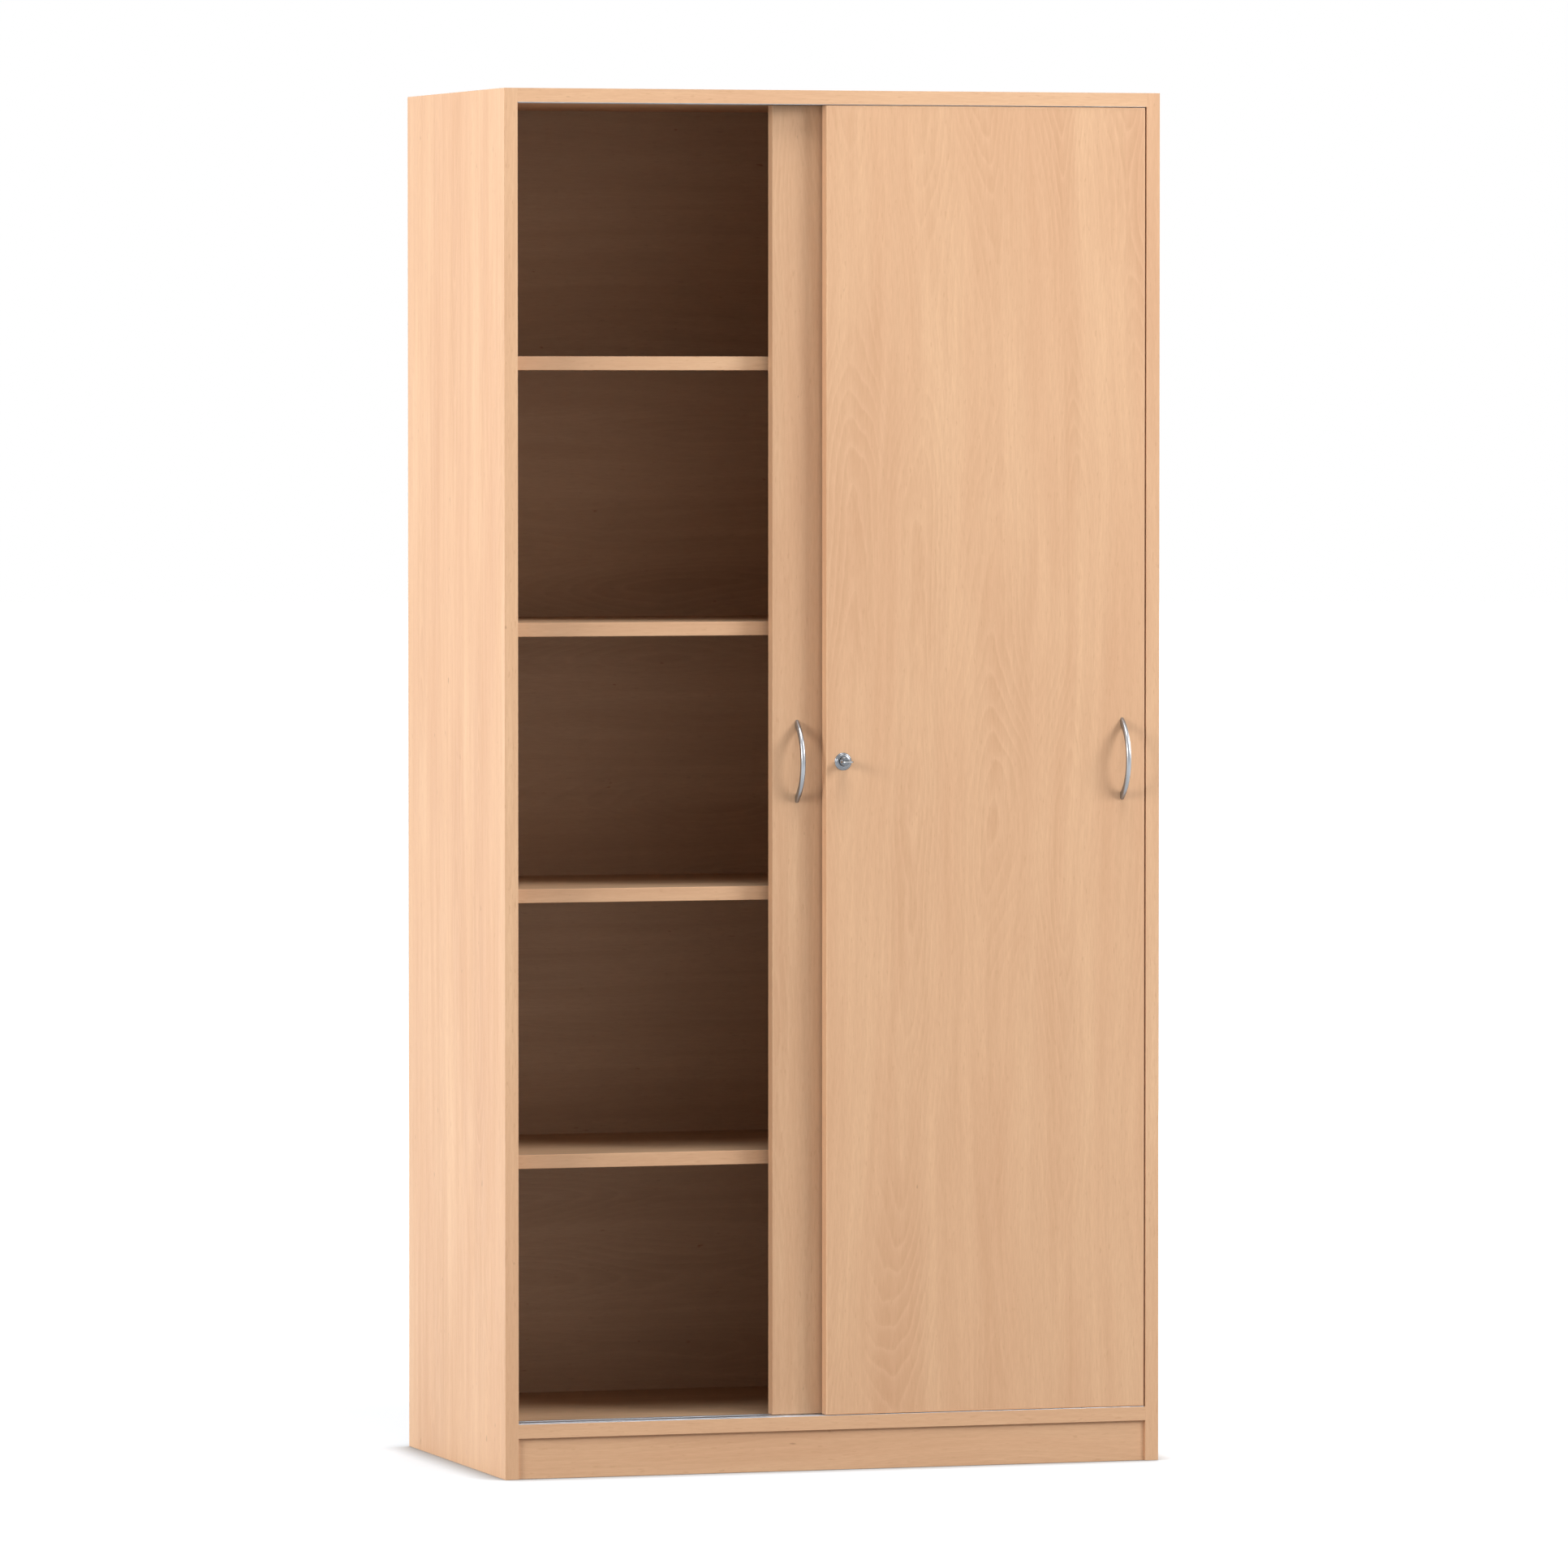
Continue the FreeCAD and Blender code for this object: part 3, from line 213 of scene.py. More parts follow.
class EffectGroups:
    """Node groups for the effects that several finishes share, each built once."""

    def _start(
        self, name: str, inputs: dict[str, object]
    ) -> tuple[NodeDesk, bpy.types.Node, bpy.types.Node]:
        """Start a group with its sockets.

        Args:
            name: the group's name.
            inputs: default value of each input, a tuple for a colour and None for the vector.

        Returns:
            The desk of the group's tree, and its input and output nodes.
        """
        tree = bpy.data.node_groups.new(name, "ShaderNodeTree")
        for label, value in inputs.items():
            kind = "Color" if isinstance(value, tuple) else "Float"
            if value is None:
                kind = "Vector"
            socket = tree.interface.new_socket(name=label, in_out="INPUT", socket_type="NodeSocket" + kind)
            if value is not None:
                socket.default_value = (*value, 1.0) if isinstance(value, tuple) else value
        for label, kind in (("Color", "Color"), ("Height", "Float"), ("Roughness", "Float")):
            tree.interface.new_socket(name=label, in_out="OUTPUT", socket_type="NodeSocket" + kind)
        desk = NodeDesk(tree)
        return desk, desk.add("NodeGroupInput"), desk.add("NodeGroupOutput")

    @cached_property
    def beech_print(self) -> bpy.types.NodeTree:
        """Build the printed beech figure, with the grain along Z of its vector.

        Returns:
            The group.
        """
        desk, given, result = self._start(
            "beech print",
            {"Vector": None, "Ground": (0.75, 0.47, 0.28), "Figure": (0.6, 0.36, 0.2),
             "Light": (0.8, 0.55, 0.35), "Mark": (0.42, 0.22, 0.12), "Strength": 1.0},
        )
        place = given.outputs["Vector"]
        wander = desk.noise(place, (4.0, 4.0, 0.9), 2.0)
        shove = desk.add("ShaderNodeCombineXYZ", {"X": desk.ramp(wander, 0.0, 1.0, -0.06, 0.06)})
        bent = desk.add("ShaderNodeVectorMath", {0: place, 1: shove.outputs[0]}, operation="ADD").outputs[0]
        across = desk.add("ShaderNodeVectorMath", {0: bent, 1: (1.0, 1.0, 0.0)}, operation="DOT_PRODUCT")
        half_leaf, roundness = 0.054, 0.00012
        column = desk.math("PINGPONG", across.outputs["Value"], half_leaf)
        ridge = desk.math("SQRT", desk.plus(desk.times(column, column), roundness))
        slope = desk.noise(place, (3.4, 3.4, 1.5), 1.0, 0.4)
        ragged = desk.noise(place, (30.0, 30.0, 9.0), 2.0, 0.6)
        phase = desk.plus(desk.times(ridge, 118.0), desk.times(slope, 25.0))
        phase = desk.math("FRACT", desk.plus(phase, desk.times(ragged, 1.3)))
        late = desk.times(desk.ramp(phase, 0.2, 0.84), desk.ramp(phase, 0.97, 0.86))
        early = desk.ramp(phase, 0.26, 0.0)
        dashes = desk.ramp(desk.noise(place, (430.0, 430.0, 40.0), 1.0), 0.35, 0.65, 0.3, 1.0)
        heart = desk.ramp(ridge, 0.05, 0.016)
        patch = desk.ramp(desk.noise(place, (7.0, 7.0, 1.9), 2.0), 0.42, 0.62)
        patch = desk.times(patch, desk.plus(desk.times(heart, 0.7), 0.3))
        patch = desk.times(patch, given.outputs["Strength"])
        where = desk.ramp(patch, 0.0, 1.0, 0.10, 1.0)
        bands = desk.ramp(desk.noise(bent, (17.0, 17.0, 1.1), 3.0, 0.65), 0.32, 0.68)
        streaks = desk.ramp(desk.noise(bent, (70.0, 70.0, 2.6), 3.0, 0.65), 0.34, 0.66)
        fibres = desk.noise(place, (620.0, 620.0, 55.0), 2.0, 0.6)
        flecks = desk.ramp(desk.noise(place, (330.0, 330.0, 62.0), 1.0), 0.66, 0.76)
        pins = desk.ramp(desk.noise(place, (120.0, 120.0, 46.0), 1.0), 0.78, 0.84)
        lines = desk.times(desk.times(late, dashes), where)
        colour = desk.blend(desk.times(bands, 0.85), given.outputs["Ground"], given.outputs["Light"])
        for share, tint in (
            (desk.times(streaks, 0.26), "Figure"),
            (desk.times(patch, 0.24), "Figure"),
            (desk.times(lines, 0.36), "Figure"),
            (desk.times(desk.times(early, where), 0.26), "Light"),
            (desk.ramp(fibres, 0.35, 0.7, 0.0, 0.26), "Figure"),
            (desk.times(flecks, 0.40), "Figure"),
            (desk.times(pins, 0.7), "Mark"),
        ):
            colour = desk.blend(share, colour, given.outputs[tint])
        desk.feed(result, {
            "Color": colour, "Height": desk.math("SUBTRACT", fibres, desk.times(flecks, 0.5)),
            "Roughness": desk.ramp(streaks, 0.0, 1.0, 0.46, 0.54),
        })
        return desk.tree

    @cached_property
    def fine_lines(self) -> bpy.types.NodeTree:
        """Build fine lines along Z of the vector, as brushing or drawing leaves them.

        Returns:
            The group.
        """
        desk, given, result = self._start(
            "fine lines",
            {"Vector": None, "Metal": (0.7, 0.7, 0.7), "Depth": 0.3, "Low": 0.25, "High": 0.4},
        )
        place = given.outputs["Vector"]
        lines = desk.noise(place, (2600.0, 2600.0, 16.0), 3.0, 0.6)
        cloud = desk.noise(place, (60.0, 60.0, 60.0), 3.0, 0.55)
        worn = desk.plus(desk.times(lines, 0.6), desk.times(cloud, 0.4))
        share = desk.times(desk.ramp(worn, 0.35, 0.65), given.outputs["Depth"])
        spread = desk.math("SUBTRACT", given.outputs["High"], given.outputs["Low"])
        desk.feed(result, {
            "Color": desk.blend(share, given.outputs["Metal"], (0.32, 0.33, 0.35)), "Height": lines,
            "Roughness": desk.plus(given.outputs["Low"], desk.times(desk.ramp(worn, 0.3, 0.7), spread)),
        })
        return desk.tree

    @cached_property
    def speckle(self) -> bpy.types.NodeTree:
        """Build fine speckle, for moulded plastic and pressed chips.

        Returns:
            The group.
        """
        desk, given, result = self._start(
            "speckle",
            {"Vector": None, "Ground": (0.8, 0.8, 0.8), "Spot": (0.6, 0.6, 0.6), "Size": 900.0, "Rough": 0.5},
        )
        sized = {0: given.outputs["Vector"], "Scale": given.outputs["Size"]}
        scaled = desk.add("ShaderNodeVectorMath", sized, operation="SCALE").outputs[0]
        chips = desk.add("ShaderNodeTexVoronoi", {"Vector": scaled, "Scale": 1.0}, feature="F1")
        grains = desk.noise(scaled, (2.2, 2.2, 2.2), 3.0, 0.6)
        tone = desk.times(desk.ramp(chips.outputs["Distance"], 0.1, 0.8), desk.ramp(grains, 0.3, 0.7))
        desk.feed(result, {
            "Color": desk.blend(tone, given.outputs["Ground"], given.outputs["Spot"]), "Height": grains,
            "Roughness": desk.plus(given.outputs["Rough"], desk.ramp(grains, 0.3, 0.7, -0.05, 0.05)),
        })
        return desk.tree


# ---- finishes ----


@dataclass(frozen=True)
class Finish(ABC):
    """A finish, made into a material.

    Args:
        name: the material's name.
        slot: the record's material slot, not used.
        shift: where the pattern's middle is moved to, in metres.
        turn: the pattern's turn about X, Y and Z, in radians.
        relief: height of the bumps, in metres.
    """

    name: str
    slot: str
    shift: Point = (0.0, 0.0, 0.0)
    turn: Point = (0.0, 0.0, 0.0)
    relief: float = 0.00002

    @abstractmethod
    def effect(self, groups: EffectGroups) -> tuple[bpy.types.NodeTree, dict[str, object]]:
        """Return the effect group of the finish and the values of its inputs."""

    @abstractmethod
    def surface(self) -> dict[str, object]:
        """Return the values that are the same all over the surface."""

    def material(self, groups: EffectGroups) -> bpy.types.Material:
        """Build the material, or return it if it is there.

        Args:
            groups: the shared effect groups.

        Returns:
            The material.
        """
        made = bpy.data.materials.get(self.name)
        if made:
            return made
        made = bpy.data.materials.new(self.name)
        made.use_nodes = True
        desk = NodeDesk(made.node_tree)
        shader = made.node_tree.nodes["Principled BSDF"]
        shader.location = (1200, 0)
        made.node_tree.nodes["Material Output"].location = (1500, 0)
        place = desk.add("ShaderNodeTexCoord").outputs["Object"]
        mapping = desk.add("ShaderNodeMapping", {
            "Vector": place, "Location": self.shift, "Rotation": self.turn,
        })
        tree, values = self.effect(groups)
        given = {"Vector": mapping.outputs["Vector"], **values}
        group = desk.add("ShaderNodeGroup", given, node_tree=tree).outputs
        bump = desk.add("ShaderNodeBump", {
            "Distance": self.relief, "Strength": 1.0, "Height": group["Height"],
        })
        desk.feed(shader, {
            "Base Color": group["Color"], "Roughness": group["Roughness"], "Normal": bump.outputs["Normal"],
            **self.surface(),
        })
        return made


@dataclass(frozen=True)
class Melamine(Finish):
    """Printed beech melamine.

    Args:
        ground: the main colour.
        figure: the colour of the darker lines, fibres and flecks.
        light: the colour of the lighter bands.
        mark: the colour of the few small marks.
        strength: how much figure shows.
        gloss: level of the gloss.
    """

    ground: Colour = (0.775, 0.462, 0.268)
    figure: Colour = (0.615, 0.330, 0.178)
    light: Colour = (0.885, 0.575, 0.345)
    mark: Colour = (0.420, 0.215, 0.120)
    strength: float = 1.0
    gloss: float = 0.5

    def darkened_as_shade(self, share: float) -> "Melamine":
        """Take all the colours of this finish down, as painted shade.

        Args:
            share: what is left of each colour.

        Returns:
            The darker finish.
        """
        names = ("ground", "figure", "light", "mark")
        darker = {name: tuple(share * value for value in getattr(self, name)) for name in names}
        return replace(self, **darker)

    def effect(self, groups: EffectGroups) -> tuple[bpy.types.NodeTree, dict[str, object]]:
        """Return the beech print and its colours."""
        return groups.beech_print, {
            "Ground": self.ground, "Figure": self.figure, "Light": self.light, "Mark": self.mark,
            "Strength": self.strength,
        }

    def surface(self) -> dict[str, object]:
        """Return the satin surface of pressed melamine."""
        return {"IOR": 1.5, "Specular IOR Level": self.gloss}


@dataclass(frozen=True)
class Metal(Finish):
    """Metal with fine lines.

    Args:
        colour: the colour of the metal.
        depth: how much darker its lines are.
        smooth: roughness where it is smoothest.
        rough: roughness where it is roughest.
    """

    colour: Colour = (0.7, 0.7, 0.71)
    depth: float = 0.2
    smooth: float = 0.22
    rough: float = 0.34

    def effect(self, groups: EffectGroups) -> tuple[bpy.types.NodeTree, dict[str, object]]:
        """Return the fine lines and their values."""
        return groups.fine_lines, {
            "Metal": self.colour, "Depth": self.depth, "Low": self.smooth, "High": self.rough,
        }

    def surface(self) -> dict[str, object]:
        """Return the values of bare metal."""
        return {"Metallic": 1.0}


@dataclass(frozen=True)
class Speckled(Finish):
    """Moulded plastic, silicone, or the pressed chips of a board's core.

    Args:
        colour: the main colour.
        spot: the colour of the spots.
        size: how many spots a metre holds.
        rough: the roughness.
        sheen: level of the gloss.
    """

    colour: Colour = (0.8, 0.8, 0.78)
    spot: Colour = (0.72, 0.72, 0.7)
    size: float = 900.0
    rough: float = 0.45
    sheen: float = 0.5

    def effect(self, groups: EffectGroups) -> tuple[bpy.types.NodeTree, dict[str, object]]:
        """Return the speckle and its values."""
        return groups.speckle, {
            "Ground": self.colour, "Spot": self.spot, "Size": self.size, "Rough": self.rough,
        }

    def surface(self) -> dict[str, object]:
        """Return the gloss of the moulding."""
        return {"Specular IOR Level": self.sheen}


CORE = Speckled("pressed chips", "carcass_board", colour=(0.52, 0.38, 0.22), spot=(0.33, 0.22, 0.12),
                size=420.0, rough=0.85, sheen=0.15, relief=0.0002)
TRACK = Metal("anodised aluminium", "track", turn=(0.0, math.pi / 2, 0.0), colour=(0.66, 0.70, 0.75),
              depth=0.25, smooth=0.3, rough=0.42)
HANDLE = Metal("satin silver", "handle", colour=(0.32, 0.33, 0.345), depth=0.1, smooth=0.25, rough=0.33)
LOCK = Metal("satin nickel", "lock", turn=(math.pi / 2, 0.0, 0.0), colour=(0.20, 0.21, 0.225), depth=0.15,
             smooth=0.2, rough=0.32)
KEY = Metal("plated key", "key", turn=(math.pi / 2, 0.0, 0.0), colour=(0.36, 0.36, 0.355), depth=0.15,
            smooth=0.2, rough=0.34)
ZINC = Metal("bright zinc", "fittings", colour=(0.6, 0.61, 0.63), depth=0.35, smooth=0.28, rough=0.46)
STEEL = Metal("spring steel", "spring", colour=(0.42, 0.42, 0.43), depth=0.3, smooth=0.3, rough=0.45)
ACETAL = Speckled("moulded acetal", "white_plastic", colour=(0.80, 0.80, 0.77), spot=(0.74, 0.74, 0.71))
SILICONE = Speckled("soft silicone", "buffer", colour=(0.78, 0.78, 0.74), spot=(0.70, 0.70, 0.67),
                    size=500.0, rough=0.35)
DOWEL = Melamine("plain beech", "dowel", turn=(0.0, math.pi / 2, 0.0), ground=(0.62, 0.44, 0.25),
                 figure=(0.45, 0.29, 0.15), light=(0.68, 0.50, 0.30))

# Painted shade: darker, duller colours for the faces deep inside, standing in for the shade and weaker red
# bounce light of a deep compartment.
PAINTED_SHADE_BACK = {"ground": (0.660, 0.506, 0.366), "figure": (0.506, 0.367, 0.253),
              "light": (0.742, 0.583, 0.430), "gloss": 0.3}
PAINTED_SHADE_UPPER = {"ground": (0.470, 0.312, 0.196), "figure": (0.370, 0.236, 0.140),
             "light": (0.530, 0.364, 0.232), "gloss": 0.15}


# ---- pieces ----


NARROW = 0.002  # a face narrower than this, in metres, is shaded smooth
SAME_SPOT = 2e-5  # points closer than this, in metres, are in one place
NEAR_CUT = 1e-7  # points closer than this to a cutting plane lie on it, in metres
WELD = 2e-6  # points of a mesh closer than this are made one, in metres
COPLANAR = 0.5  # faces that meet at less than this are made one, in degrees
SHARP = 35.0  # edges sharper than this are eased, in degrees
SHORT = 2.5  # edges shorter than this many times the easing are left sharp
CORNER = 1.0  # the outer edges of a board are sharper than this, in radians
SQUARE = 0.999  # a normal with this much along an axis runs along it


def unit(axis: int) -> Vector:
    """Return the unit vector along an axis."""
    return Vector([float(axis == other) for other in range(3)])


def between(pair: tuple[float, float], share: float) -> float:
    """Return the value at a share of the way from the first of a pair to the second."""
    return pair[0] + share * (pair[1] - pair[0])


def cut(
    shape: bmesh.types.BMesh, place: Vector, way: Vector, clear: bool = False
) -> list[bmesh.types.BMEdge]:
    """Cut a mesh along a plane.

    Args:
        shape: the mesh.
        place: a point of the plane.
        way: the plane's normal.
        clear: whether what lies on the normal's side is taken away.

    Returns:
        The edges of the cut.
    """
    result = bmesh.ops.bisect_plane(
        shape, geom=shape.verts[:] + shape.edges[:] + shape.faces[:], dist=NEAR_CUT,
        plane_co=place, plane_no=way, clear_outer=clear,
    )
    return [item for item in result["geom_cut"] if isinstance(item, bmesh.types.BMEdge)]


def close(shape: bmesh.types.BMesh, rim: list[bmesh.types.BMEdge]) -> None:
    """Fill open rims of a mesh and turn its faces outward.

    Args:
        shape: the mesh.
        rim: the edges of the rims.
    """
    bmesh.ops.holes_fill(shape, edges=rim, sides=0)
    bmesh.ops.recalc_face_normals(shape, faces=shape.faces[:])


@dataclass
class Workbench:
    """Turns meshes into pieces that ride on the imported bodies, and reports each.

    Args:
        nodes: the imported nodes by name.
        groups: the shared effect groups.
    """

    nodes: dict[str, bpy.types.Object]
    groups: EffectGroups = field(default_factory=EffectGroups)

    def copy_of(self, node: str) -> bmesh.types.BMesh:
        """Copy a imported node's mesh, with its loose triangles joined and flat faces merged.

        Args:
            node: the node's name.

        Returns:
            The new mesh.
        """
        shape = bmesh.new()
        shape.from_mesh(self.nodes[node].data)
        bmesh.ops.remove_doubles(shape, verts=shape.verts, dist=WELD)
        bmesh.ops.dissolve_limit(
            shape, angle_limit=math.radians(COPLANAR), verts=shape.verts, edges=shape.edges,
            use_dissolve_boundaries=False,
        )
        return shape

    def piece(
        self, name: str, shape: bmesh.types.BMesh, finishes: list[Finish], replaced: list[str],
        angle: float = 30.0,
    ) -> bpy.types.Object:
        """Make a piece from a mesh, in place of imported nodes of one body.

        Args:
            name: the piece's name.
            shape: the mesh, which is used up.
            finishes: one finish for each material index.
            replaced: the nodes that it stands for.
            angle: edges sharper than this stay sharp, in degrees.

        Returns:
            The new object.
        """
        narrow = [
            face.calc_area() < NARROW * max(line.calc_length() for line in face.edges) for face in shape.faces
        ]
        mesh = bpy.data.meshes.new(name)
        shape.to_mesh(mesh)
        shape.free()
        for finish in finishes:
            mesh.materials.append(finish.material(self.groups))
        mesh.set_sharp_from_angle(angle=math.radians(angle))
        mesh.polygons.foreach_set("use_smooth", narrow)
        made = bpy.data.objects.new(name, mesh)
        bpy.context.scene.collection.objects.link(made)
        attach(made, self.nodes[replaced[0]]["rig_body"])
        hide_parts(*replaced)
        LOG.info("%s: %d faces, for %s", name, len(mesh.polygons), ", ".join(replaced))
        return made

    def refine(self, node: str, finish: Finish, ease: float = 0.0002) -> None:
        """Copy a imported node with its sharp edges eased, in place of it.

        Args:
            node: the node's name.
            finish: the finish of the whole piece.
            ease: width of the eased edges, in metres.
        """
        shape = self.copy_of(node)
        self.ease(shape, ease)
        self.piece(node + "_finished", shape, [finish], [node])

    def ease(self, shape: bmesh.types.BMesh, width: float) -> None:
        """Ease the sharp edges of a mesh.

        Args:
            shape: the mesh.
            width: width of the eased edges, in metres.
        """
        sharp = [
            line for line in shape.edges
            if len(line.link_faces) == 2 and math.degrees(line.calc_face_angle(0.0)) > SHARP
            and line.calc_length() > SHORT * width
        ]
        bmesh.ops.bevel(
            shape, geom=sharp, offset=width, segments=2, profile=0.5, affect="EDGES", material=-1,
            clamp_overlap=True, loop_slide=True,
        )

    def dress(self, node: str, finish: Finish) -> None:
        """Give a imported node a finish, with its shape as it is.

        Args:
            node: the node's name.
            finish: the finish of the whole piece.
        """
        mesh = self.nodes[node].data
        mesh.materials.clear()
        mesh.materials.append(finish.material(self.groups))
        LOG.info("%s: dressed in %s", node, finish.name)


class SubAssembly(ABC):
    """A group of pieces that is built together."""

    @abstractmethod
    def build(self, bench: Workbench) -> None:
        """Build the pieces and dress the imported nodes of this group.

        Args:
            bench: where the pieces are made.
        """


class Zone(IntEnum):
    """Places of a board that have a finish of their own, as material indices."""

    FACE = 0
    BAND = 1
    HOLE = 2
    REAR = 3


@dataclass
class Board:
    """A board: printed faces, banded edges, eased arrises and a core that shows in its holes.

    Args:
        node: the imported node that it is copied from.
        thin: the axis across its thickness.
        face: the finish of its faces.
        edge: the finish of its banded edges.
        band: thickness of the edge band.
        arris: width of the eased arrises.
        rear: the finish of its rear or upper face, where that is another.
    """

    node: str
    thin: Thin
    face: Finish
    edge: Finish
    band: float = 0.001
    arris: float = 0.0006
    rear: Finish | None = None

    def _outside(self, spot: Vector, low: Vector, high: Vector) -> list[int]:
        """Return the axes along which a point lies on the outside of the board."""
        gaps = [min(abs(spot[axis] - low[axis]), abs(spot[axis] - high[axis])) for axis in range(3)]
        return [axis for axis in range(3) if gaps[axis] < SAME_SPOT]

    def _paint(self, shape: bmesh.types.BMesh, low: Vector, high: Vector) -> None:
        """Give each face of the mesh the material of its zone.

        Args:
            shape: the mesh.
            low: lowest corner of the board.
            high: highest corner of the board.
        """
        wide = [axis for axis in range(3) if axis != self.thin.value]
        for face in shape.faces:
            spot = face.calc_center_median()
            main = max(range(3), key=lambda axis: abs(face.normal[axis]))
            rim = min(min(spot[axis] - low[axis], high[axis] - spot[axis]) for axis in wide)
            flat = abs(face.normal[main]) > SQUARE
            if not flat or main not in self._outside(spot, low, high):
                zone = Zone.HOLE
            elif main != self.thin.value or rim < self.band:
                zone = Zone.BAND
            elif self.rear and face.normal[main] > 0:
                zone = Zone.REAR
            else:
                zone = Zone.FACE
            face.material_index = zone

    def build(self, bench: Workbench) -> None:
        """Build the board in place of its node.

        Args:
            bench: where the piece is made.
        """
        shape = bench.copy_of(self.node)
        low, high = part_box(self.node)
        for axis in range(3):
            if axis == self.thin.value:
                continue
            for end in (low + unit(axis) * self.band, high - unit(axis) * self.band):
                cut(shape, end, unit(axis))
        self._paint(shape, low, high)
        rims = []
        for line in shape.edges:
            ends = [set(self._outside(end.co, low, high)) for end in line.verts]
            if (len(ends[0] & ends[1]) == 2 and len(line.link_faces) == 2
                    and line.calc_face_angle(0.0) > CORNER):
                rims.append(line)
        bmesh.ops.bevel(
            shape, geom=rims, offset=self.arris, segments=2, profile=0.5, affect="EDGES", material=-1,
            clamp_overlap=True,
        )
        finishes = [self.face, self.edge, CORE] + ([self.rear] if self.rear else [])
        bench.piece(self.node + "_board", shape, finishes, [self.node])


@dataclass
class Turned:
    """A round piece that is turned about an axis along Y.

    Args:
        centre: a point of the axis.
        outline: pairs of radius and place along the axis, closed unless it starts and ends on the axis.
        steps: how many steps the turn has.
    """

    centre: Point
    outline: tuple[tuple[float, float], ...]
    steps: int = 72

    def shape(self) -> bmesh.types.BMesh:
        """Turn the outline into a closed mesh.

        Returns:
            The new mesh.
        """
        shape = bmesh.new()
        middle = Vector(self.centre)
        spots = [shape.verts.new(middle + Vector((radius, along, 0.0))) for radius, along in self.outline]
        pairs = list(zip(spots, spots[1:]))
        if self.outline[0][0] > 0.0:
            pairs.append((spots[-1], spots[0]))
        lines = [shape.edges.new(pair) for pair in pairs]
        bmesh.ops.spin(shape, geom=spots + lines, cent=middle, axis=(0.0, 1.0, 0.0), angle=2 * math.pi,
                       steps=self.steps, use_merge=True)
        bmesh.ops.remove_doubles(shape, verts=shape.verts, dist=WELD)
        bmesh.ops.recalc_face_normals(shape, faces=shape.faces[:])
        return shape


@dataclass
class Coil:
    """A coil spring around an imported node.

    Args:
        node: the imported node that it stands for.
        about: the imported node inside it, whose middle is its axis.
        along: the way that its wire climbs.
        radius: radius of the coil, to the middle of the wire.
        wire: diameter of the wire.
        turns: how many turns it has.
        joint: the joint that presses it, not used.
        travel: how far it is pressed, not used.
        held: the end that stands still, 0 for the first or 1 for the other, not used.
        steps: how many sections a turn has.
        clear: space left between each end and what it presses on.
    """

    node: str
    about: str
    along: Thin
    radius: float
    wire: float
    turns: int
    joint: str
    travel: float
    held: int = 0
    steps: int = 28
    clear: float = 0.00003

    def build(self, bench: Workbench) -> None:
        """Wind the wire and close its ends.

        Args:
            bench: where the piece is made.
        """
        low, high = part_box(self.node)
        way = unit(self.along.value)
        ends = [self._middle(corner.dot(way), way) for corner in (low, high)]
        length = (ends[1] - ends[0]).length
        tangent = Matrix.Rotation(math.pi / 2, 4, "X") if self.along is Thin.Z else Matrix.Identity(4)
        start = Matrix.Translation(
            ends[0] + way * (self.clear + self.wire / 2) + Vector((self.radius, 0.0, 0.0)))
        shape = bmesh.new()
        bmesh.ops.create_circle(shape, segments=10, radius=self.wire / 2, matrix=start @ tangent)
        count = self.turns * self.steps
        bmesh.ops.spin(
            shape, geom=shape.verts[:] + shape.edges[:], cent=ends[0], axis=way,
            angle=2 * math.pi * self.turns,
            dvec=way * (length - self.wire - 2 * self.clear) / count, steps=count, use_merge=False,
        )
        close(shape, [line for line in shape.edges if line.is_boundary])
        made = bench.piece(f"{self.node}_coil", shape, [STEEL], [self.node], angle=50.0)
        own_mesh(made)

    def _middle(self, place: float, way: Vector) -> Vector:
        """Return the point of the coil's axis at a place along it."""
        middle = sum(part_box(self.about), Vector()) / 2
        return middle + way * (place - middle.dot(way))


def melamine_pair(
    name: str, slot: str, grain: Grain, shift: Point
) -> tuple[Melamine, Melamine]:
    """Make the finishes of a board's faces and edges, which have different pieces of the print.

    Args:
        name: the board's name.
        slot: the record's material slot.
        grain: the way the grain runs.
        shift: where the pattern's middle is moved to, in metres.

    Returns:
        The finish of the faces and that of the edges.
    """
    turn = (0.0, grain.value, 0.0)
    face = Melamine(f"beech {name}", slot, shift=shift, turn=turn)
    aside = (shift[0] + 1.7, shift[1] - 0.9, shift[2] + 0.6)
    edge = Melamine(f"beech edge {name}", slot, shift=aside, turn=turn, strength=0.4)
    return face, edge


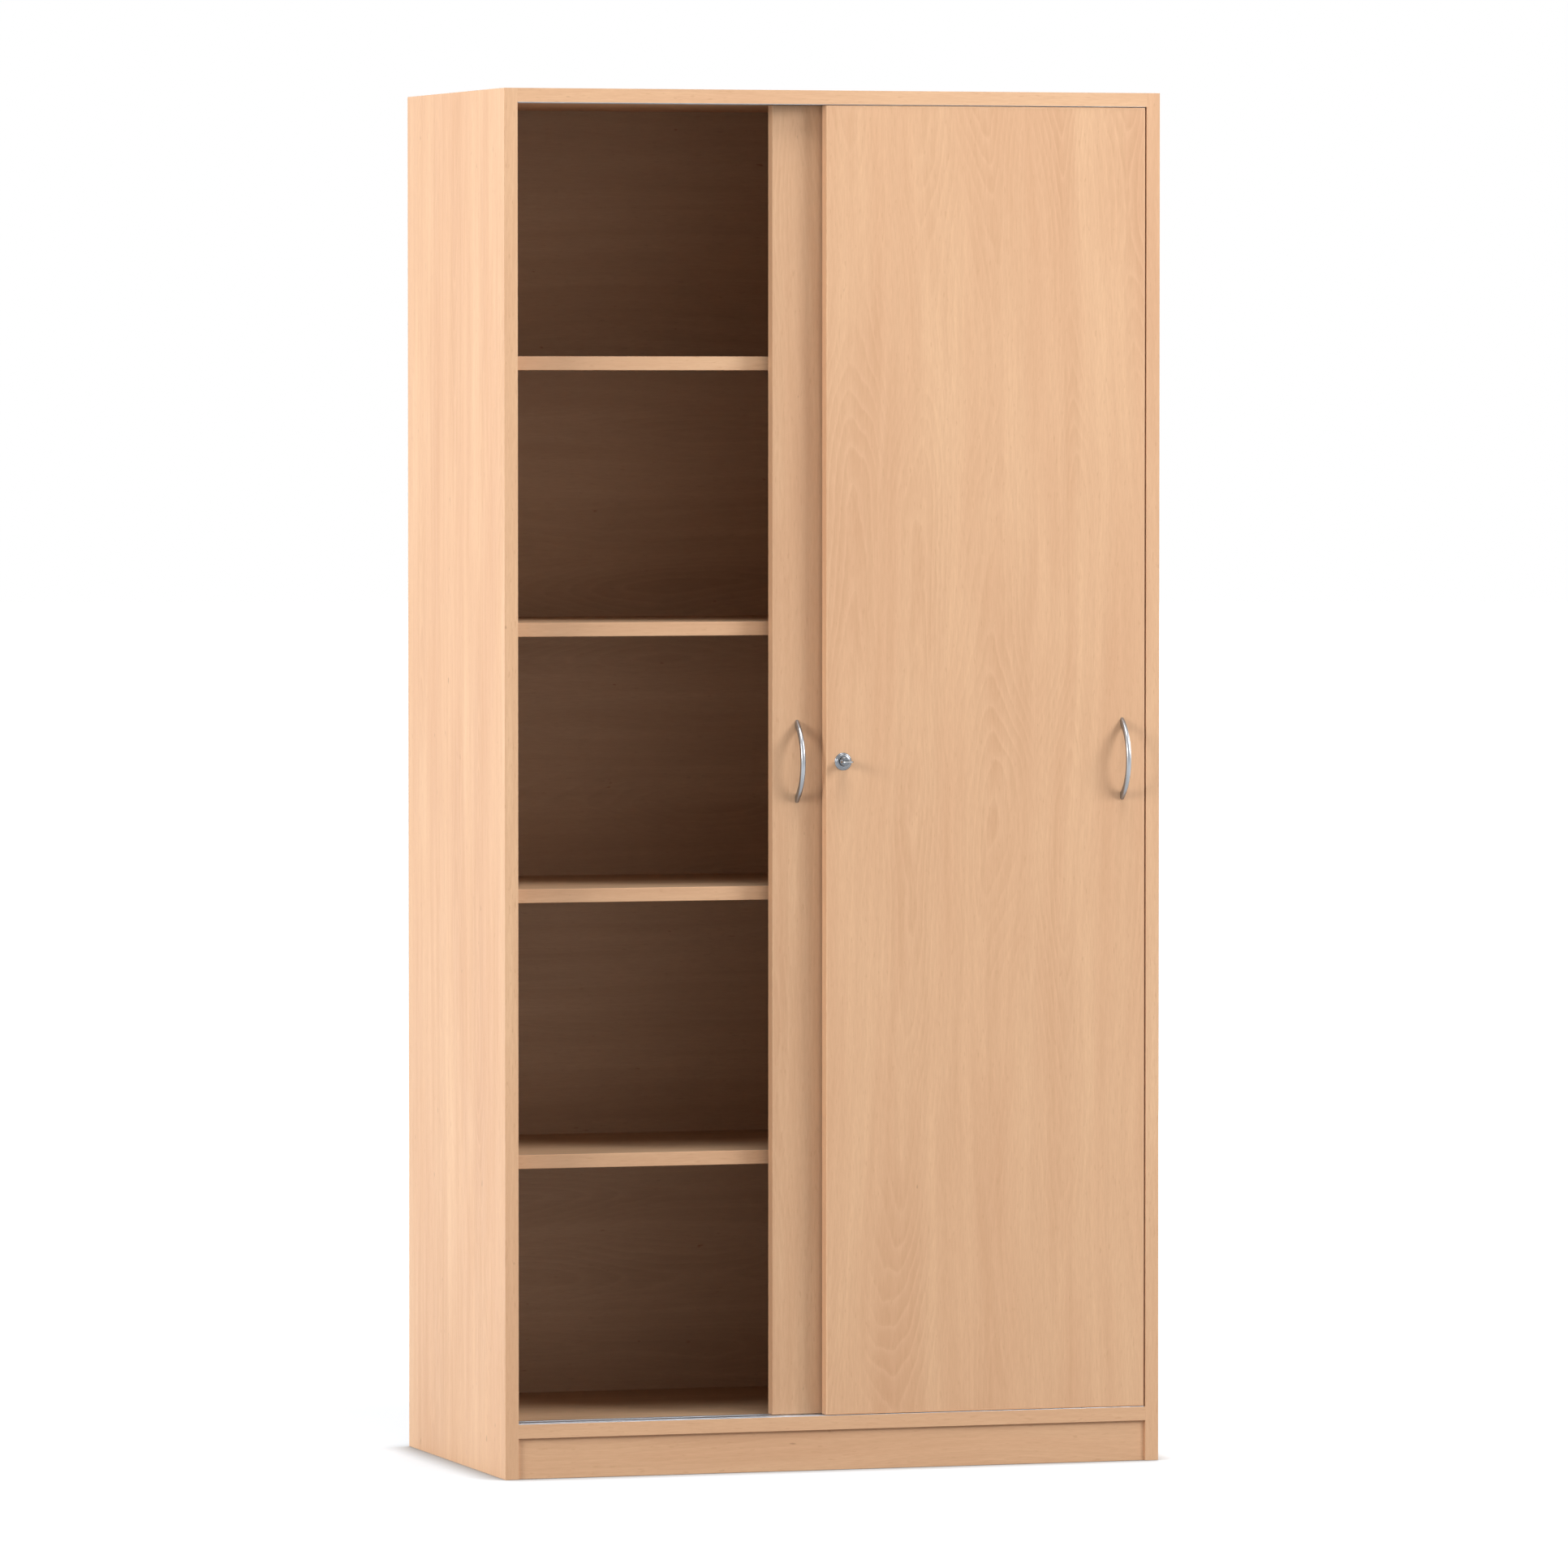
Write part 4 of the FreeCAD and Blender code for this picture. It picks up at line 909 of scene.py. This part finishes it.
@dataclass
class Carcass(SubAssembly):
    """The boards that stand still, and the fittings that join them.

    Args:
        shelves: how many shelves there are.
    """

    shelves: int = 4

    def boards(self) -> list[Board]:
        """List the boards of the carcass.

        Returns:
            The boards, with their finishes.
        """
        spec = [
            ("left_side", Thin.X, "carcass_board", Grain.UPRIGHT, (3.1, 0.4, 0.2)),
            ("right_side", Thin.X, "carcass_board", Grain.UPRIGHT, (5.2, 1.7, 0.9)),
            ("top_panel", Thin.Z, "carcass_board", Grain.LEVEL, (0.3, 2.2, 1.4)),
            ("bottom_panel", Thin.Z, "carcass_board", Grain.LEVEL, (1.3, 4.2, 3.4)),
            ("plinth", Thin.Y, "carcass_board", Grain.LEVEL, (2.6, 0.7, 2.1)),
            ("back_panel", Thin.Y, "back_board", Grain.LEVEL, (0.9, 6.3, 5.0)),
        ]
        spec += [
            (f"shelf_{n}", Thin.Z, "carcass_board", Grain.LEVEL, (0.8 * n, 1.9 * n, 0.7 * n))
            for n in range(1, self.shelves + 1)
        ]
        boards = [
            Board(node, thin, *melamine_pair(node, slot, grain, shift))
            for node, thin, slot, grain, shift in spec
        ]
        back = next(board for board in boards if board.node == "back_panel")
        back.rear = back.face
        # Painted shade: the inner face of the back panel gets the darker inside colours.
        back.face = replace(back.face, name="beech back panel painted shade", **PAINTED_SHADE_BACK)
        for board in boards:
            if board.node.startswith("shelf"):
                # Painted shade: the shelves' edges, set back from the doors, are darkened to stand in for the
                # shade there.
                board.edge = board.edge.darkened_as_shade(0.88)
            # Painted shade: the upper faces of the shelves and the bottom panel get the darker inside
            # colours.
            if board.thin is Thin.Z and board.node != "top_panel":
                board.rear = replace(board.face, name=f"{board.face.name} upper", **PAINTED_SHADE_UPPER)
        return boards

    def build(self, bench: Workbench) -> None:
        """Build the boards and dress the fittings.

        Args:
            bench: where the pieces are made.
        """
        for board in self.boards():
            board.build(bench)
        bench.refine("shelf_supports", ZINC, 0.0003)
        bench.refine("cam_locks", ZINC, 0.0003)
        bench.refine("door_buffers", SILICONE, 0.0006)
        bench.dress("cam_bolts", ZINC)
        bench.dress("wood_dowels", DOWEL)


@dataclass
class Tracks(SubAssembly):
    """The two aluminium tracks with their screws."""

    def build(self, bench: Workbench) -> None:
        """Finish both tracks and their screws.

        Args:
            bench: where the pieces are made.
        """
        bench.refine("lower_track", TRACK, 0.00025)
        bench.refine("upper_track", TRACK, 0.00025)
        bench.dress("track_screws", ZINC)


@dataclass
class Handle:
    """An arched bar with an oval section, thinner and wider at its feet.

    Args:
        node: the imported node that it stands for.
        across: middle of the bar, along X.
        face: the door's face, along Y.
        height: middle of the bar, along Z.
        chord: distance between the bar's ends where its middle meets the door.
        projection: how far it stands out of the door.
        thickness: thickness of the bar at its middle and at its feet.
        width: width of the bar at its middle and at its feet.
        fullness: how full its section is there, where 2 is an ellipse and more is squarer.
        steps: how many sections the bar has.
    """

    node: str
    across: float
    face: float
    height: float
    chord: float = 0.1022
    projection: float = 0.0315
    thickness: tuple[float, float] = (0.0074, 0.0100)
    width: tuple[float, float] = (0.0072, 0.0062)
    fullness: tuple[float, float] = (2.15, 3.25)
    steps: int = 56

    def build(self, bench: Workbench) -> None:
        """Sweep the oval along the arc, shape it, and cut it off at the door.

        Args:
            bench: where the pieces are made.
        """
        overrun = 1.15  # the bar is swept this much too far, then cut off at the door
        furthest = 1.3  # the share of the feet's section is 1 at a foot, and past it no more than this
        rise = self.projection - self.thickness[0] / 2
        radius = (self.chord**2 / 4 + rise**2) / (2 * rise)
        half = math.asin(self.chord / 2 / radius)
        middle = Vector((self.across, self.face - rise + radius, self.height))
        shape = bmesh.new()
        ring = bmesh.ops.create_circle(shape, segments=32, radius=0.5)["verts"]
        flatten = Matrix.Diagonal((self.width[0], self.thickness[0], 1.0, 1.0))
        crown = Matrix.Translation((self.across, self.face - rise, self.height))
        bmesh.ops.transform(shape, matrix=crown @ flatten, verts=ring)
        bmesh.ops.rotate(shape, cent=middle, matrix=Matrix.Rotation(overrun * half, 3, "X"), verts=ring)
        bmesh.ops.spin(shape, geom=ring + shape.edges[:], cent=middle, axis=(1.0, 0.0, 0.0),
                       angle=-2 * overrun * half, steps=self.steps, use_merge=False)
        for spot in shape.verts:
            arm = Vector((0.0, spot.co.y - middle.y, spot.co.z - middle.z))
            share = min(furthest, (math.atan2(arm.z, -arm.y) / half) ** 2)
            side = (spot.co.x - self.across) / (self.width[0] / 2)
            out = (arm.length - radius) / (self.thickness[0] / 2)
            power = between(self.fullness, share)
            full = (abs(side) ** power + abs(out) ** power) ** (-1.0 / power)
            deep = full * between(self.thickness, share) / 2
            wide = full * between(self.width, share) / 2
            spot.co = middle + arm.normalized() * (radius + out * deep) + Vector((side * wide, 0.0, 0.0))
        close(shape, cut(shape, Vector((0.0, self.face, 0.0)), unit(Thin.Y.value), clear=True))
        bench.piece(self.node + "_bar", shape, [HANDLE], [self.node], 40.0)


@dataclass
class Door(SubAssembly):
    """A sliding door with its handle, rollers and guides.

    Args:
        prefix: front or rear.
        shift: where the middle of the print is moved to.
        tone: what share of the usual colour its sheet keeps; below 1 it is painted shade, darkening the door
            that runs behind the other.
    """

    prefix: str
    shift: Point
    tone: float = 1.0

    def build(self, bench: Workbench) -> None:
        """Build the panel and the handle, and dress the rest.

        Args:
            bench: where the pieces are made.
        """
        node = f"{self.prefix}_door_panel"
        pair = melamine_pair(f"{self.prefix} door", "door_board", Grain.UPRIGHT, self.shift)
        # Painted shade: below 1 the door's colours are darkened, standing in for the shade on the door that
        # runs behind.
        finishes = [finish.darkened_as_shade(self.tone) for finish in pair]
        Board(node, Thin.Y, *finishes, band=0.002, arris=0.0008).build(bench)
        low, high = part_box(f"{self.prefix}_handle")
        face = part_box(node)[0].y
        Handle(f"{self.prefix}_handle", (low.x + high.x) / 2, face, (low.z + high.z) / 2).build(bench)
        for name in ("handle_screws", "roller_axles"):
            bench.dress(f"{self.prefix}_{name}", ZINC)
        for name in ("roller_housings", "guide_sleeves", "wheel_left", "wheel_right", "guide_pin_left",
                     "guide_pin_right"):
            bench.refine(f"{self.prefix}_{name}", ACETAL, 0.0003)
        for hand in ("left", "right"):
            guide = f"{self.prefix}_guide_pin_{hand}"
            Coil(f"{self.prefix}_guide_spring_{hand}", guide, Thin.Z, radius=0.0034, wire=0.0008,
                 turns=8, joint=f"{guide}_press", travel=0.0073).build(bench)


@dataclass
class Lock(SubAssembly):
    """The push-cylinder lock, its key and its strike.

    Args:
        flange: radius of the flange, of its raised ring and of the barrel.
        flange_height: how far the flange stands out.
        cylinder: radius of the push cylinder and of its bolt.
        reach: how far the push cylinder stands out.
        seat: how far its wide part reaches into the door.
        core: radius of the turning core.
        board: thickness of the door.
        end: thickness of the barrel's end.
        play: radial clearance of a sliding fit.
    """

    centre: Point = field(init=False)
    flange: tuple[float, float, float] = (0.01225, 0.0084, 0.009)
    flange_height: float = 0.003
    cylinder: tuple[float, float] = (0.0063, 0.0035)
    reach: float = 0.012
    seat: float = 0.008
    core: float = 0.0048
    board: float = 0.019
    end: float = 0.003
    play: float = 0.00005

    def __post_init__(self) -> None:
        """Find the centre, where the lock's axis meets the face of the front door."""
        low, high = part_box("lock_housing")
        self.centre = ((low.x + high.x) / 2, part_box("front_door_panel")[0].y, (low.z + high.z) / 2)

    def housing(self) -> Turned:
        """Draw the flange, domed in two steps with a raised ring, and the barrel behind it.

        Returns:
            The round piece.
        """
        bore, high = self.cylinder[0] + self.play, self.flange_height
        outer, ring, barrel = self.flange
        bolt = self.cylinder[1] + self.play
        return Turned(self.centre, (
            (bore, 0.0004 - high), (bore + 0.0004, -high), (ring - 0.0007, -high),
            (ring - 0.0002, 0.0002 - high), (ring, 0.0007 - high), (ring + 0.0002, 0.0008 - high),
            (ring + 0.0009, 0.0009 - high), (ring + 0.0015, 0.0013 - high), (ring + 0.0019, 0.0018 - high),
            (ring + 0.0021, 0.0018 - high), (ring + 0.0029, 0.0020 - high), (ring + 0.0034, 0.0024 - high),
            (outer - 0.0001, 0.0028 - high), (outer, 0.0), (barrel, 0.0), (barrel, self.board),
            (bolt, self.board), (bolt, self.board - self.end), (bore, self.board - self.end),
        ))

    def plunger(self) -> Turned:
        """Draw the push cylinder, with a bevelled rim, two fine grooves and its bolt.

        Returns:
            The round piece.
        """
        wide, bolt = self.cylinder
        bore, deep, out = self.core + self.play, 0.0061, -self.reach
        grooves: list[tuple[float, float]] = []
        for along in (out + 0.0032, out + 0.0046):
            grooves += [(wide, along), (wide - 0.0003, along + 0.0002), (wide - 0.0003, along + 0.0005),
                        (wide, along + 0.0007)]
        return Turned(self.centre, (
            (0.0, deep), (bore, deep), (bore, out + 0.0002), (bore + 0.0002, out), (wide - 0.0010, out),
            (wide - 0.0006, out + 0.0002), (wide - 0.0002, out + 0.0006), (wide, out + 0.0011), *grooves,
            (wide, self.seat), (bolt, self.seat), (bolt, self.board - 0.0006),
            (bolt - 0.0006, self.board), (0.0, self.board),
        ))

    def key(self, bench: Workbench) -> None:
        """Build the key: rounded edges, and bitting along both sides of its blade.

        Args:
            bench: where the pieces are made.
        """
        blade, long = 0.0034, 0.010  # the blade's edges lie further out than this, and are longer
        deepest, pitch = 0.0009, 2 * math.pi / 2600.0  # of the cuts
        apart = 1.9  # how far the cuts of one side are from those of the other, in radians
        shape = bench.copy_of("key")
        low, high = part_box("key")
        middle = (low.x + high.x) / 2
        front = self.centre[1] - self.reach
        for side in (-1.0, 1.0):
            runs = [
                line for line in shape.edges
                if abs(line.verts[0].co.x - line.verts[1].co.x) < 1e-6
                and (line.verts[0].co.x - middle) * side > blade
                and abs(line.verts[0].co.y - line.verts[1].co.y) > long
                and min(line.verts[0].co.y, line.verts[1].co.y) > front - 0.004
            ]
            bmesh.ops.subdivide_edges(shape, edges=runs, cuts=11, use_grid_fill=False)
        for spot in shape.verts:
            side = spot.co.x - middle
            inside = spot.co.y - front
            if abs(side) > blade and 0.0015 < inside < high.y - front - 0.0008:
                wave = math.sin(2 * math.pi * inside / pitch + (0.0 if side > 0 else apart))
                spot.co.x -= math.copysign(deepest * (1 + wave) / 2, side)
        bench.ease(shape, 0.0003)
        bench.piece("key_cut", shape, [KEY], ["key"])

    def build(self, bench: Workbench) -> None:
        """Build the lock, and finish the pieces behind it.

        Args:
            bench: where the pieces are made.
        """
        bench.piece("lock_flange_and_barrel", self.housing().shape(), [LOCK], ["lock_housing"])
        bench.piece("lock_push_cylinder", self.plunger().shape(), [LOCK], ["lock_plunger"])
        bench.refine("lock_core", LOCK, 0.0003)
        self.key(bench)
        for node in ("lock_back_plate", "strike_plate"):
            bench.refine(node, ZINC, 0.0003)
        for node in ("lock_screws", "strike_screws"):
            bench.dress(node, ZINC)
        Coil("lock_spring", "lock_plunger", Thin.Y, radius=0.0049, wire=0.0005, turns=3, joint="lock_push",
             travel=0.0055, held=1).build(bench)


# ---- studio ----


@dataclass(frozen=True)
class SoftBox:
    """A soft lamp that faces a point.

    Args:
        name: the lamp's name.
        azimuth: direction from the object, in degrees to the right of the way the doors face.
        elevation: direction above the horizon, in degrees.
        distance: from the target, in metres.
        size: side of the lamp, in metres.
        power: in watts.
        target: the point that it faces.
    """

    name: str
    azimuth: float
    elevation: float
    distance: float
    size: float
    power: float
    target: Point = (0.0, 0.0, 0.95)

    def build(self) -> None:
        """Make the lamp."""
        lamp = bpy.data.lights.new(self.name, "AREA")
        lamp.shape = "DISK"
        lamp.size = self.size
        lamp.energy = self.power
        made = bpy.data.objects.new(self.name, lamp)
        around, above = math.radians(self.azimuth), math.radians(self.elevation)
        level = math.cos(above)
        away = Vector((math.sin(around) * level, -math.cos(around) * level, math.sin(above)))
        made.location = Vector(self.target) + away * self.distance
        made.rotation_euler = away.to_track_quat("Z", "Y").to_euler()
        made.visible_camera = False
        bpy.context.scene.collection.objects.link(made)


@dataclass
class Studio:
    """Lamps, world, floor and camera.

    Args:
        ambient: strength of the world's light on the object.
        contact_shadow_reach: how far the painted contact shadow reaches where the cabinet meets the floor, in
            metres.
        lamps: the soft lamps.
        eye: the camera's place, in metres.
        heading: the camera's turn to the right of straight at the back, in degrees.
        dip: how far the camera looks down, in degrees.
        lens: focal length, in millimetres.
    """

    ambient: float = 0.13
    contact_shadow_reach: float = 0.05
    lamps: tuple[SoftBox, ...] = (
        SoftBox("left lamp", -105.0, 14.0, 6.5, 2.8, 180.0),
        SoftBox("grazing lamp", -66.0, 14.0, 6.5, 2.4, 215.0),
        SoftBox("right lamp", 49.0, 24.0, 6.5, 3.0, 250.0),
        SoftBox("top lamp", 5.0, 66.0, 6.5, 3.0, 188.0),
        SoftBox("far right lamp", 98.0, 12.0, 6.5, 3.0, 180.0),
        SoftBox("back lamp", 165.0, 9.0, 7.0, 3.0, 310.0),
    )
    eye: Point = (-4.4866, -14.479036, 1.494009)
    heading: float = 17.2143
    dip: float = 2.0979
    lens: float = 249.26

    def _camera(self) -> None:
        """Make the camera."""
        data = bpy.data.cameras.new("camera")
        data.lens = self.lens
        data.sensor_width = 36.0
        data.clip_start, data.clip_end = 0.5, 200.0
        made = bpy.data.objects.new("camera", data)
        made.location = self.eye
        made.rotation_euler = (math.radians(90.0 - self.dip), 0.0, math.radians(-self.heading))
        bpy.context.scene.collection.objects.link(made)
        bpy.context.scene.camera = made

    def _seen(self, desk: NodeDesk) -> bpy.types.NodeSocket:
        """Tell the rays that show the background, straight, in a gloss or through glass.

        Args:
            desk: the desk of the tree.

        Returns:
            The socket of the answer, 1 for such rays.
        """
        path = desk.add("ShaderNodeLightPath")
        seen = desk.math("MAXIMUM", path.outputs["Is Camera Ray"], path.outputs["Is Glossy Ray"])
        seen = desk.math("MAXIMUM", seen, path.outputs["Is Transmission Ray"])
        return desk.times(seen, desk.math("LESS_THAN", path.outputs["Diffuse Depth"], 0.5))

    def _world(self) -> None:
        """Make a white surround that lights the object gently."""
        world = bpy.data.worlds.new("surround")
        world.use_nodes = True
        desk = NodeDesk(world.node_tree)
        ground = world.node_tree.nodes["Background"]
        desk.feed(ground, {
            "Color": (1.0, 1.0, 1.0), "Strength": desk.ramp(self._seen(desk), 0.0, 1.0, self.ambient, 1.0),
        })
        bpy.context.scene.world = world

    def _floor(self) -> None:
        """Make a white floor that keeps the object's shadow, with a painted contact shadow where the cabinet
        stands on it.
        """
        radius, drop = 60.0, 0.0004  # of the disc, and how far it lies under the cabinet
        shape = bmesh.new()
        bmesh.ops.create_circle(shape, cap_ends=True, segments=96, radius=radius,
                                matrix=Matrix.Translation((0.0, 0.0, -drop)))
        mesh = bpy.data.meshes.new("floor")
        shape.to_mesh(mesh)
        shape.free()
        floor = bpy.data.objects.new("floor", mesh)
        bpy.context.scene.collection.objects.link(floor)
        paint = bpy.data.materials.new("white floor")
        paint.use_nodes = True
        tree = paint.node_tree
        desk = NodeDesk(tree)
        plain = desk.add("ShaderNodeBsdfDiffuse", {"Color": (0.28, 0.28, 0.28)})
        shaded = desk.add("ShaderNodeBsdfDiffuse", {"Color": (0.46, 0.45, 0.44)})
        place = desk.add("ShaderNodeTexCoord").outputs["Object"]
        away = desk.add("ShaderNodeVectorMath", {0: place}, operation="LENGTH").outputs["Value"]
        far = desk.ramp(away, 1.0, 2.6, 1.0, 1.75)
        # Painted contact shadow: the floor's glow is darkened where ambient occlusion finds the cabinet close
        # by.
        contact_occlusion = desk.add("ShaderNodeAmbientOcclusion", {"Distance": self.contact_shadow_reach}).outputs["AO"]
        joint = desk.ramp(contact_occlusion, 0.5, 1.0, 0.12, 1.0)
        glow = desk.add("ShaderNodeEmission", {
            "Color": (0.58, 0.62, 0.66), "Strength": desk.times(far, joint),
        })
        both = desk.add("ShaderNodeAddShader", {0: shaded.outputs[0], 1: glow.outputs[0]})
        mixed = desk.add("ShaderNodeMixShader", {
            0: self._seen(desk), 1: plain.outputs[0], 2: both.outputs[0],
        })
        desk.feed(tree.nodes["Material Output"], {"Surface": mixed.outputs[0]})
        mesh.materials.append(paint)

    def build(self) -> None:
        """Make the studio and set how colours are shown."""
        self._camera()
        self._world()
        self._floor()
        for lamp in self.lamps:
            lamp.build()
        bpy.context.scene.view_settings.view_transform = "Standard"


def main() -> None:
    """Load the frame and build every part of the scene."""
    logging.basicConfig(level=logging.INFO, format="%(name)s: %(message)s")
    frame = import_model()
    Studio().build()
    bench = Workbench(frame["nodes"])
    for part in (
        Carcass(),
        Tracks(),
        Door("front", (0.35, 0.2, 0.1)),
        # Painted shade: the rear door is darkened to stand in for the shade behind the front door.
        Door("rear", (2.4, 3.3, 1.2), tone=0.87),
        Lock(),
    ):
        part.build(bench)
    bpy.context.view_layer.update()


if __name__ == "__main__":
    main()
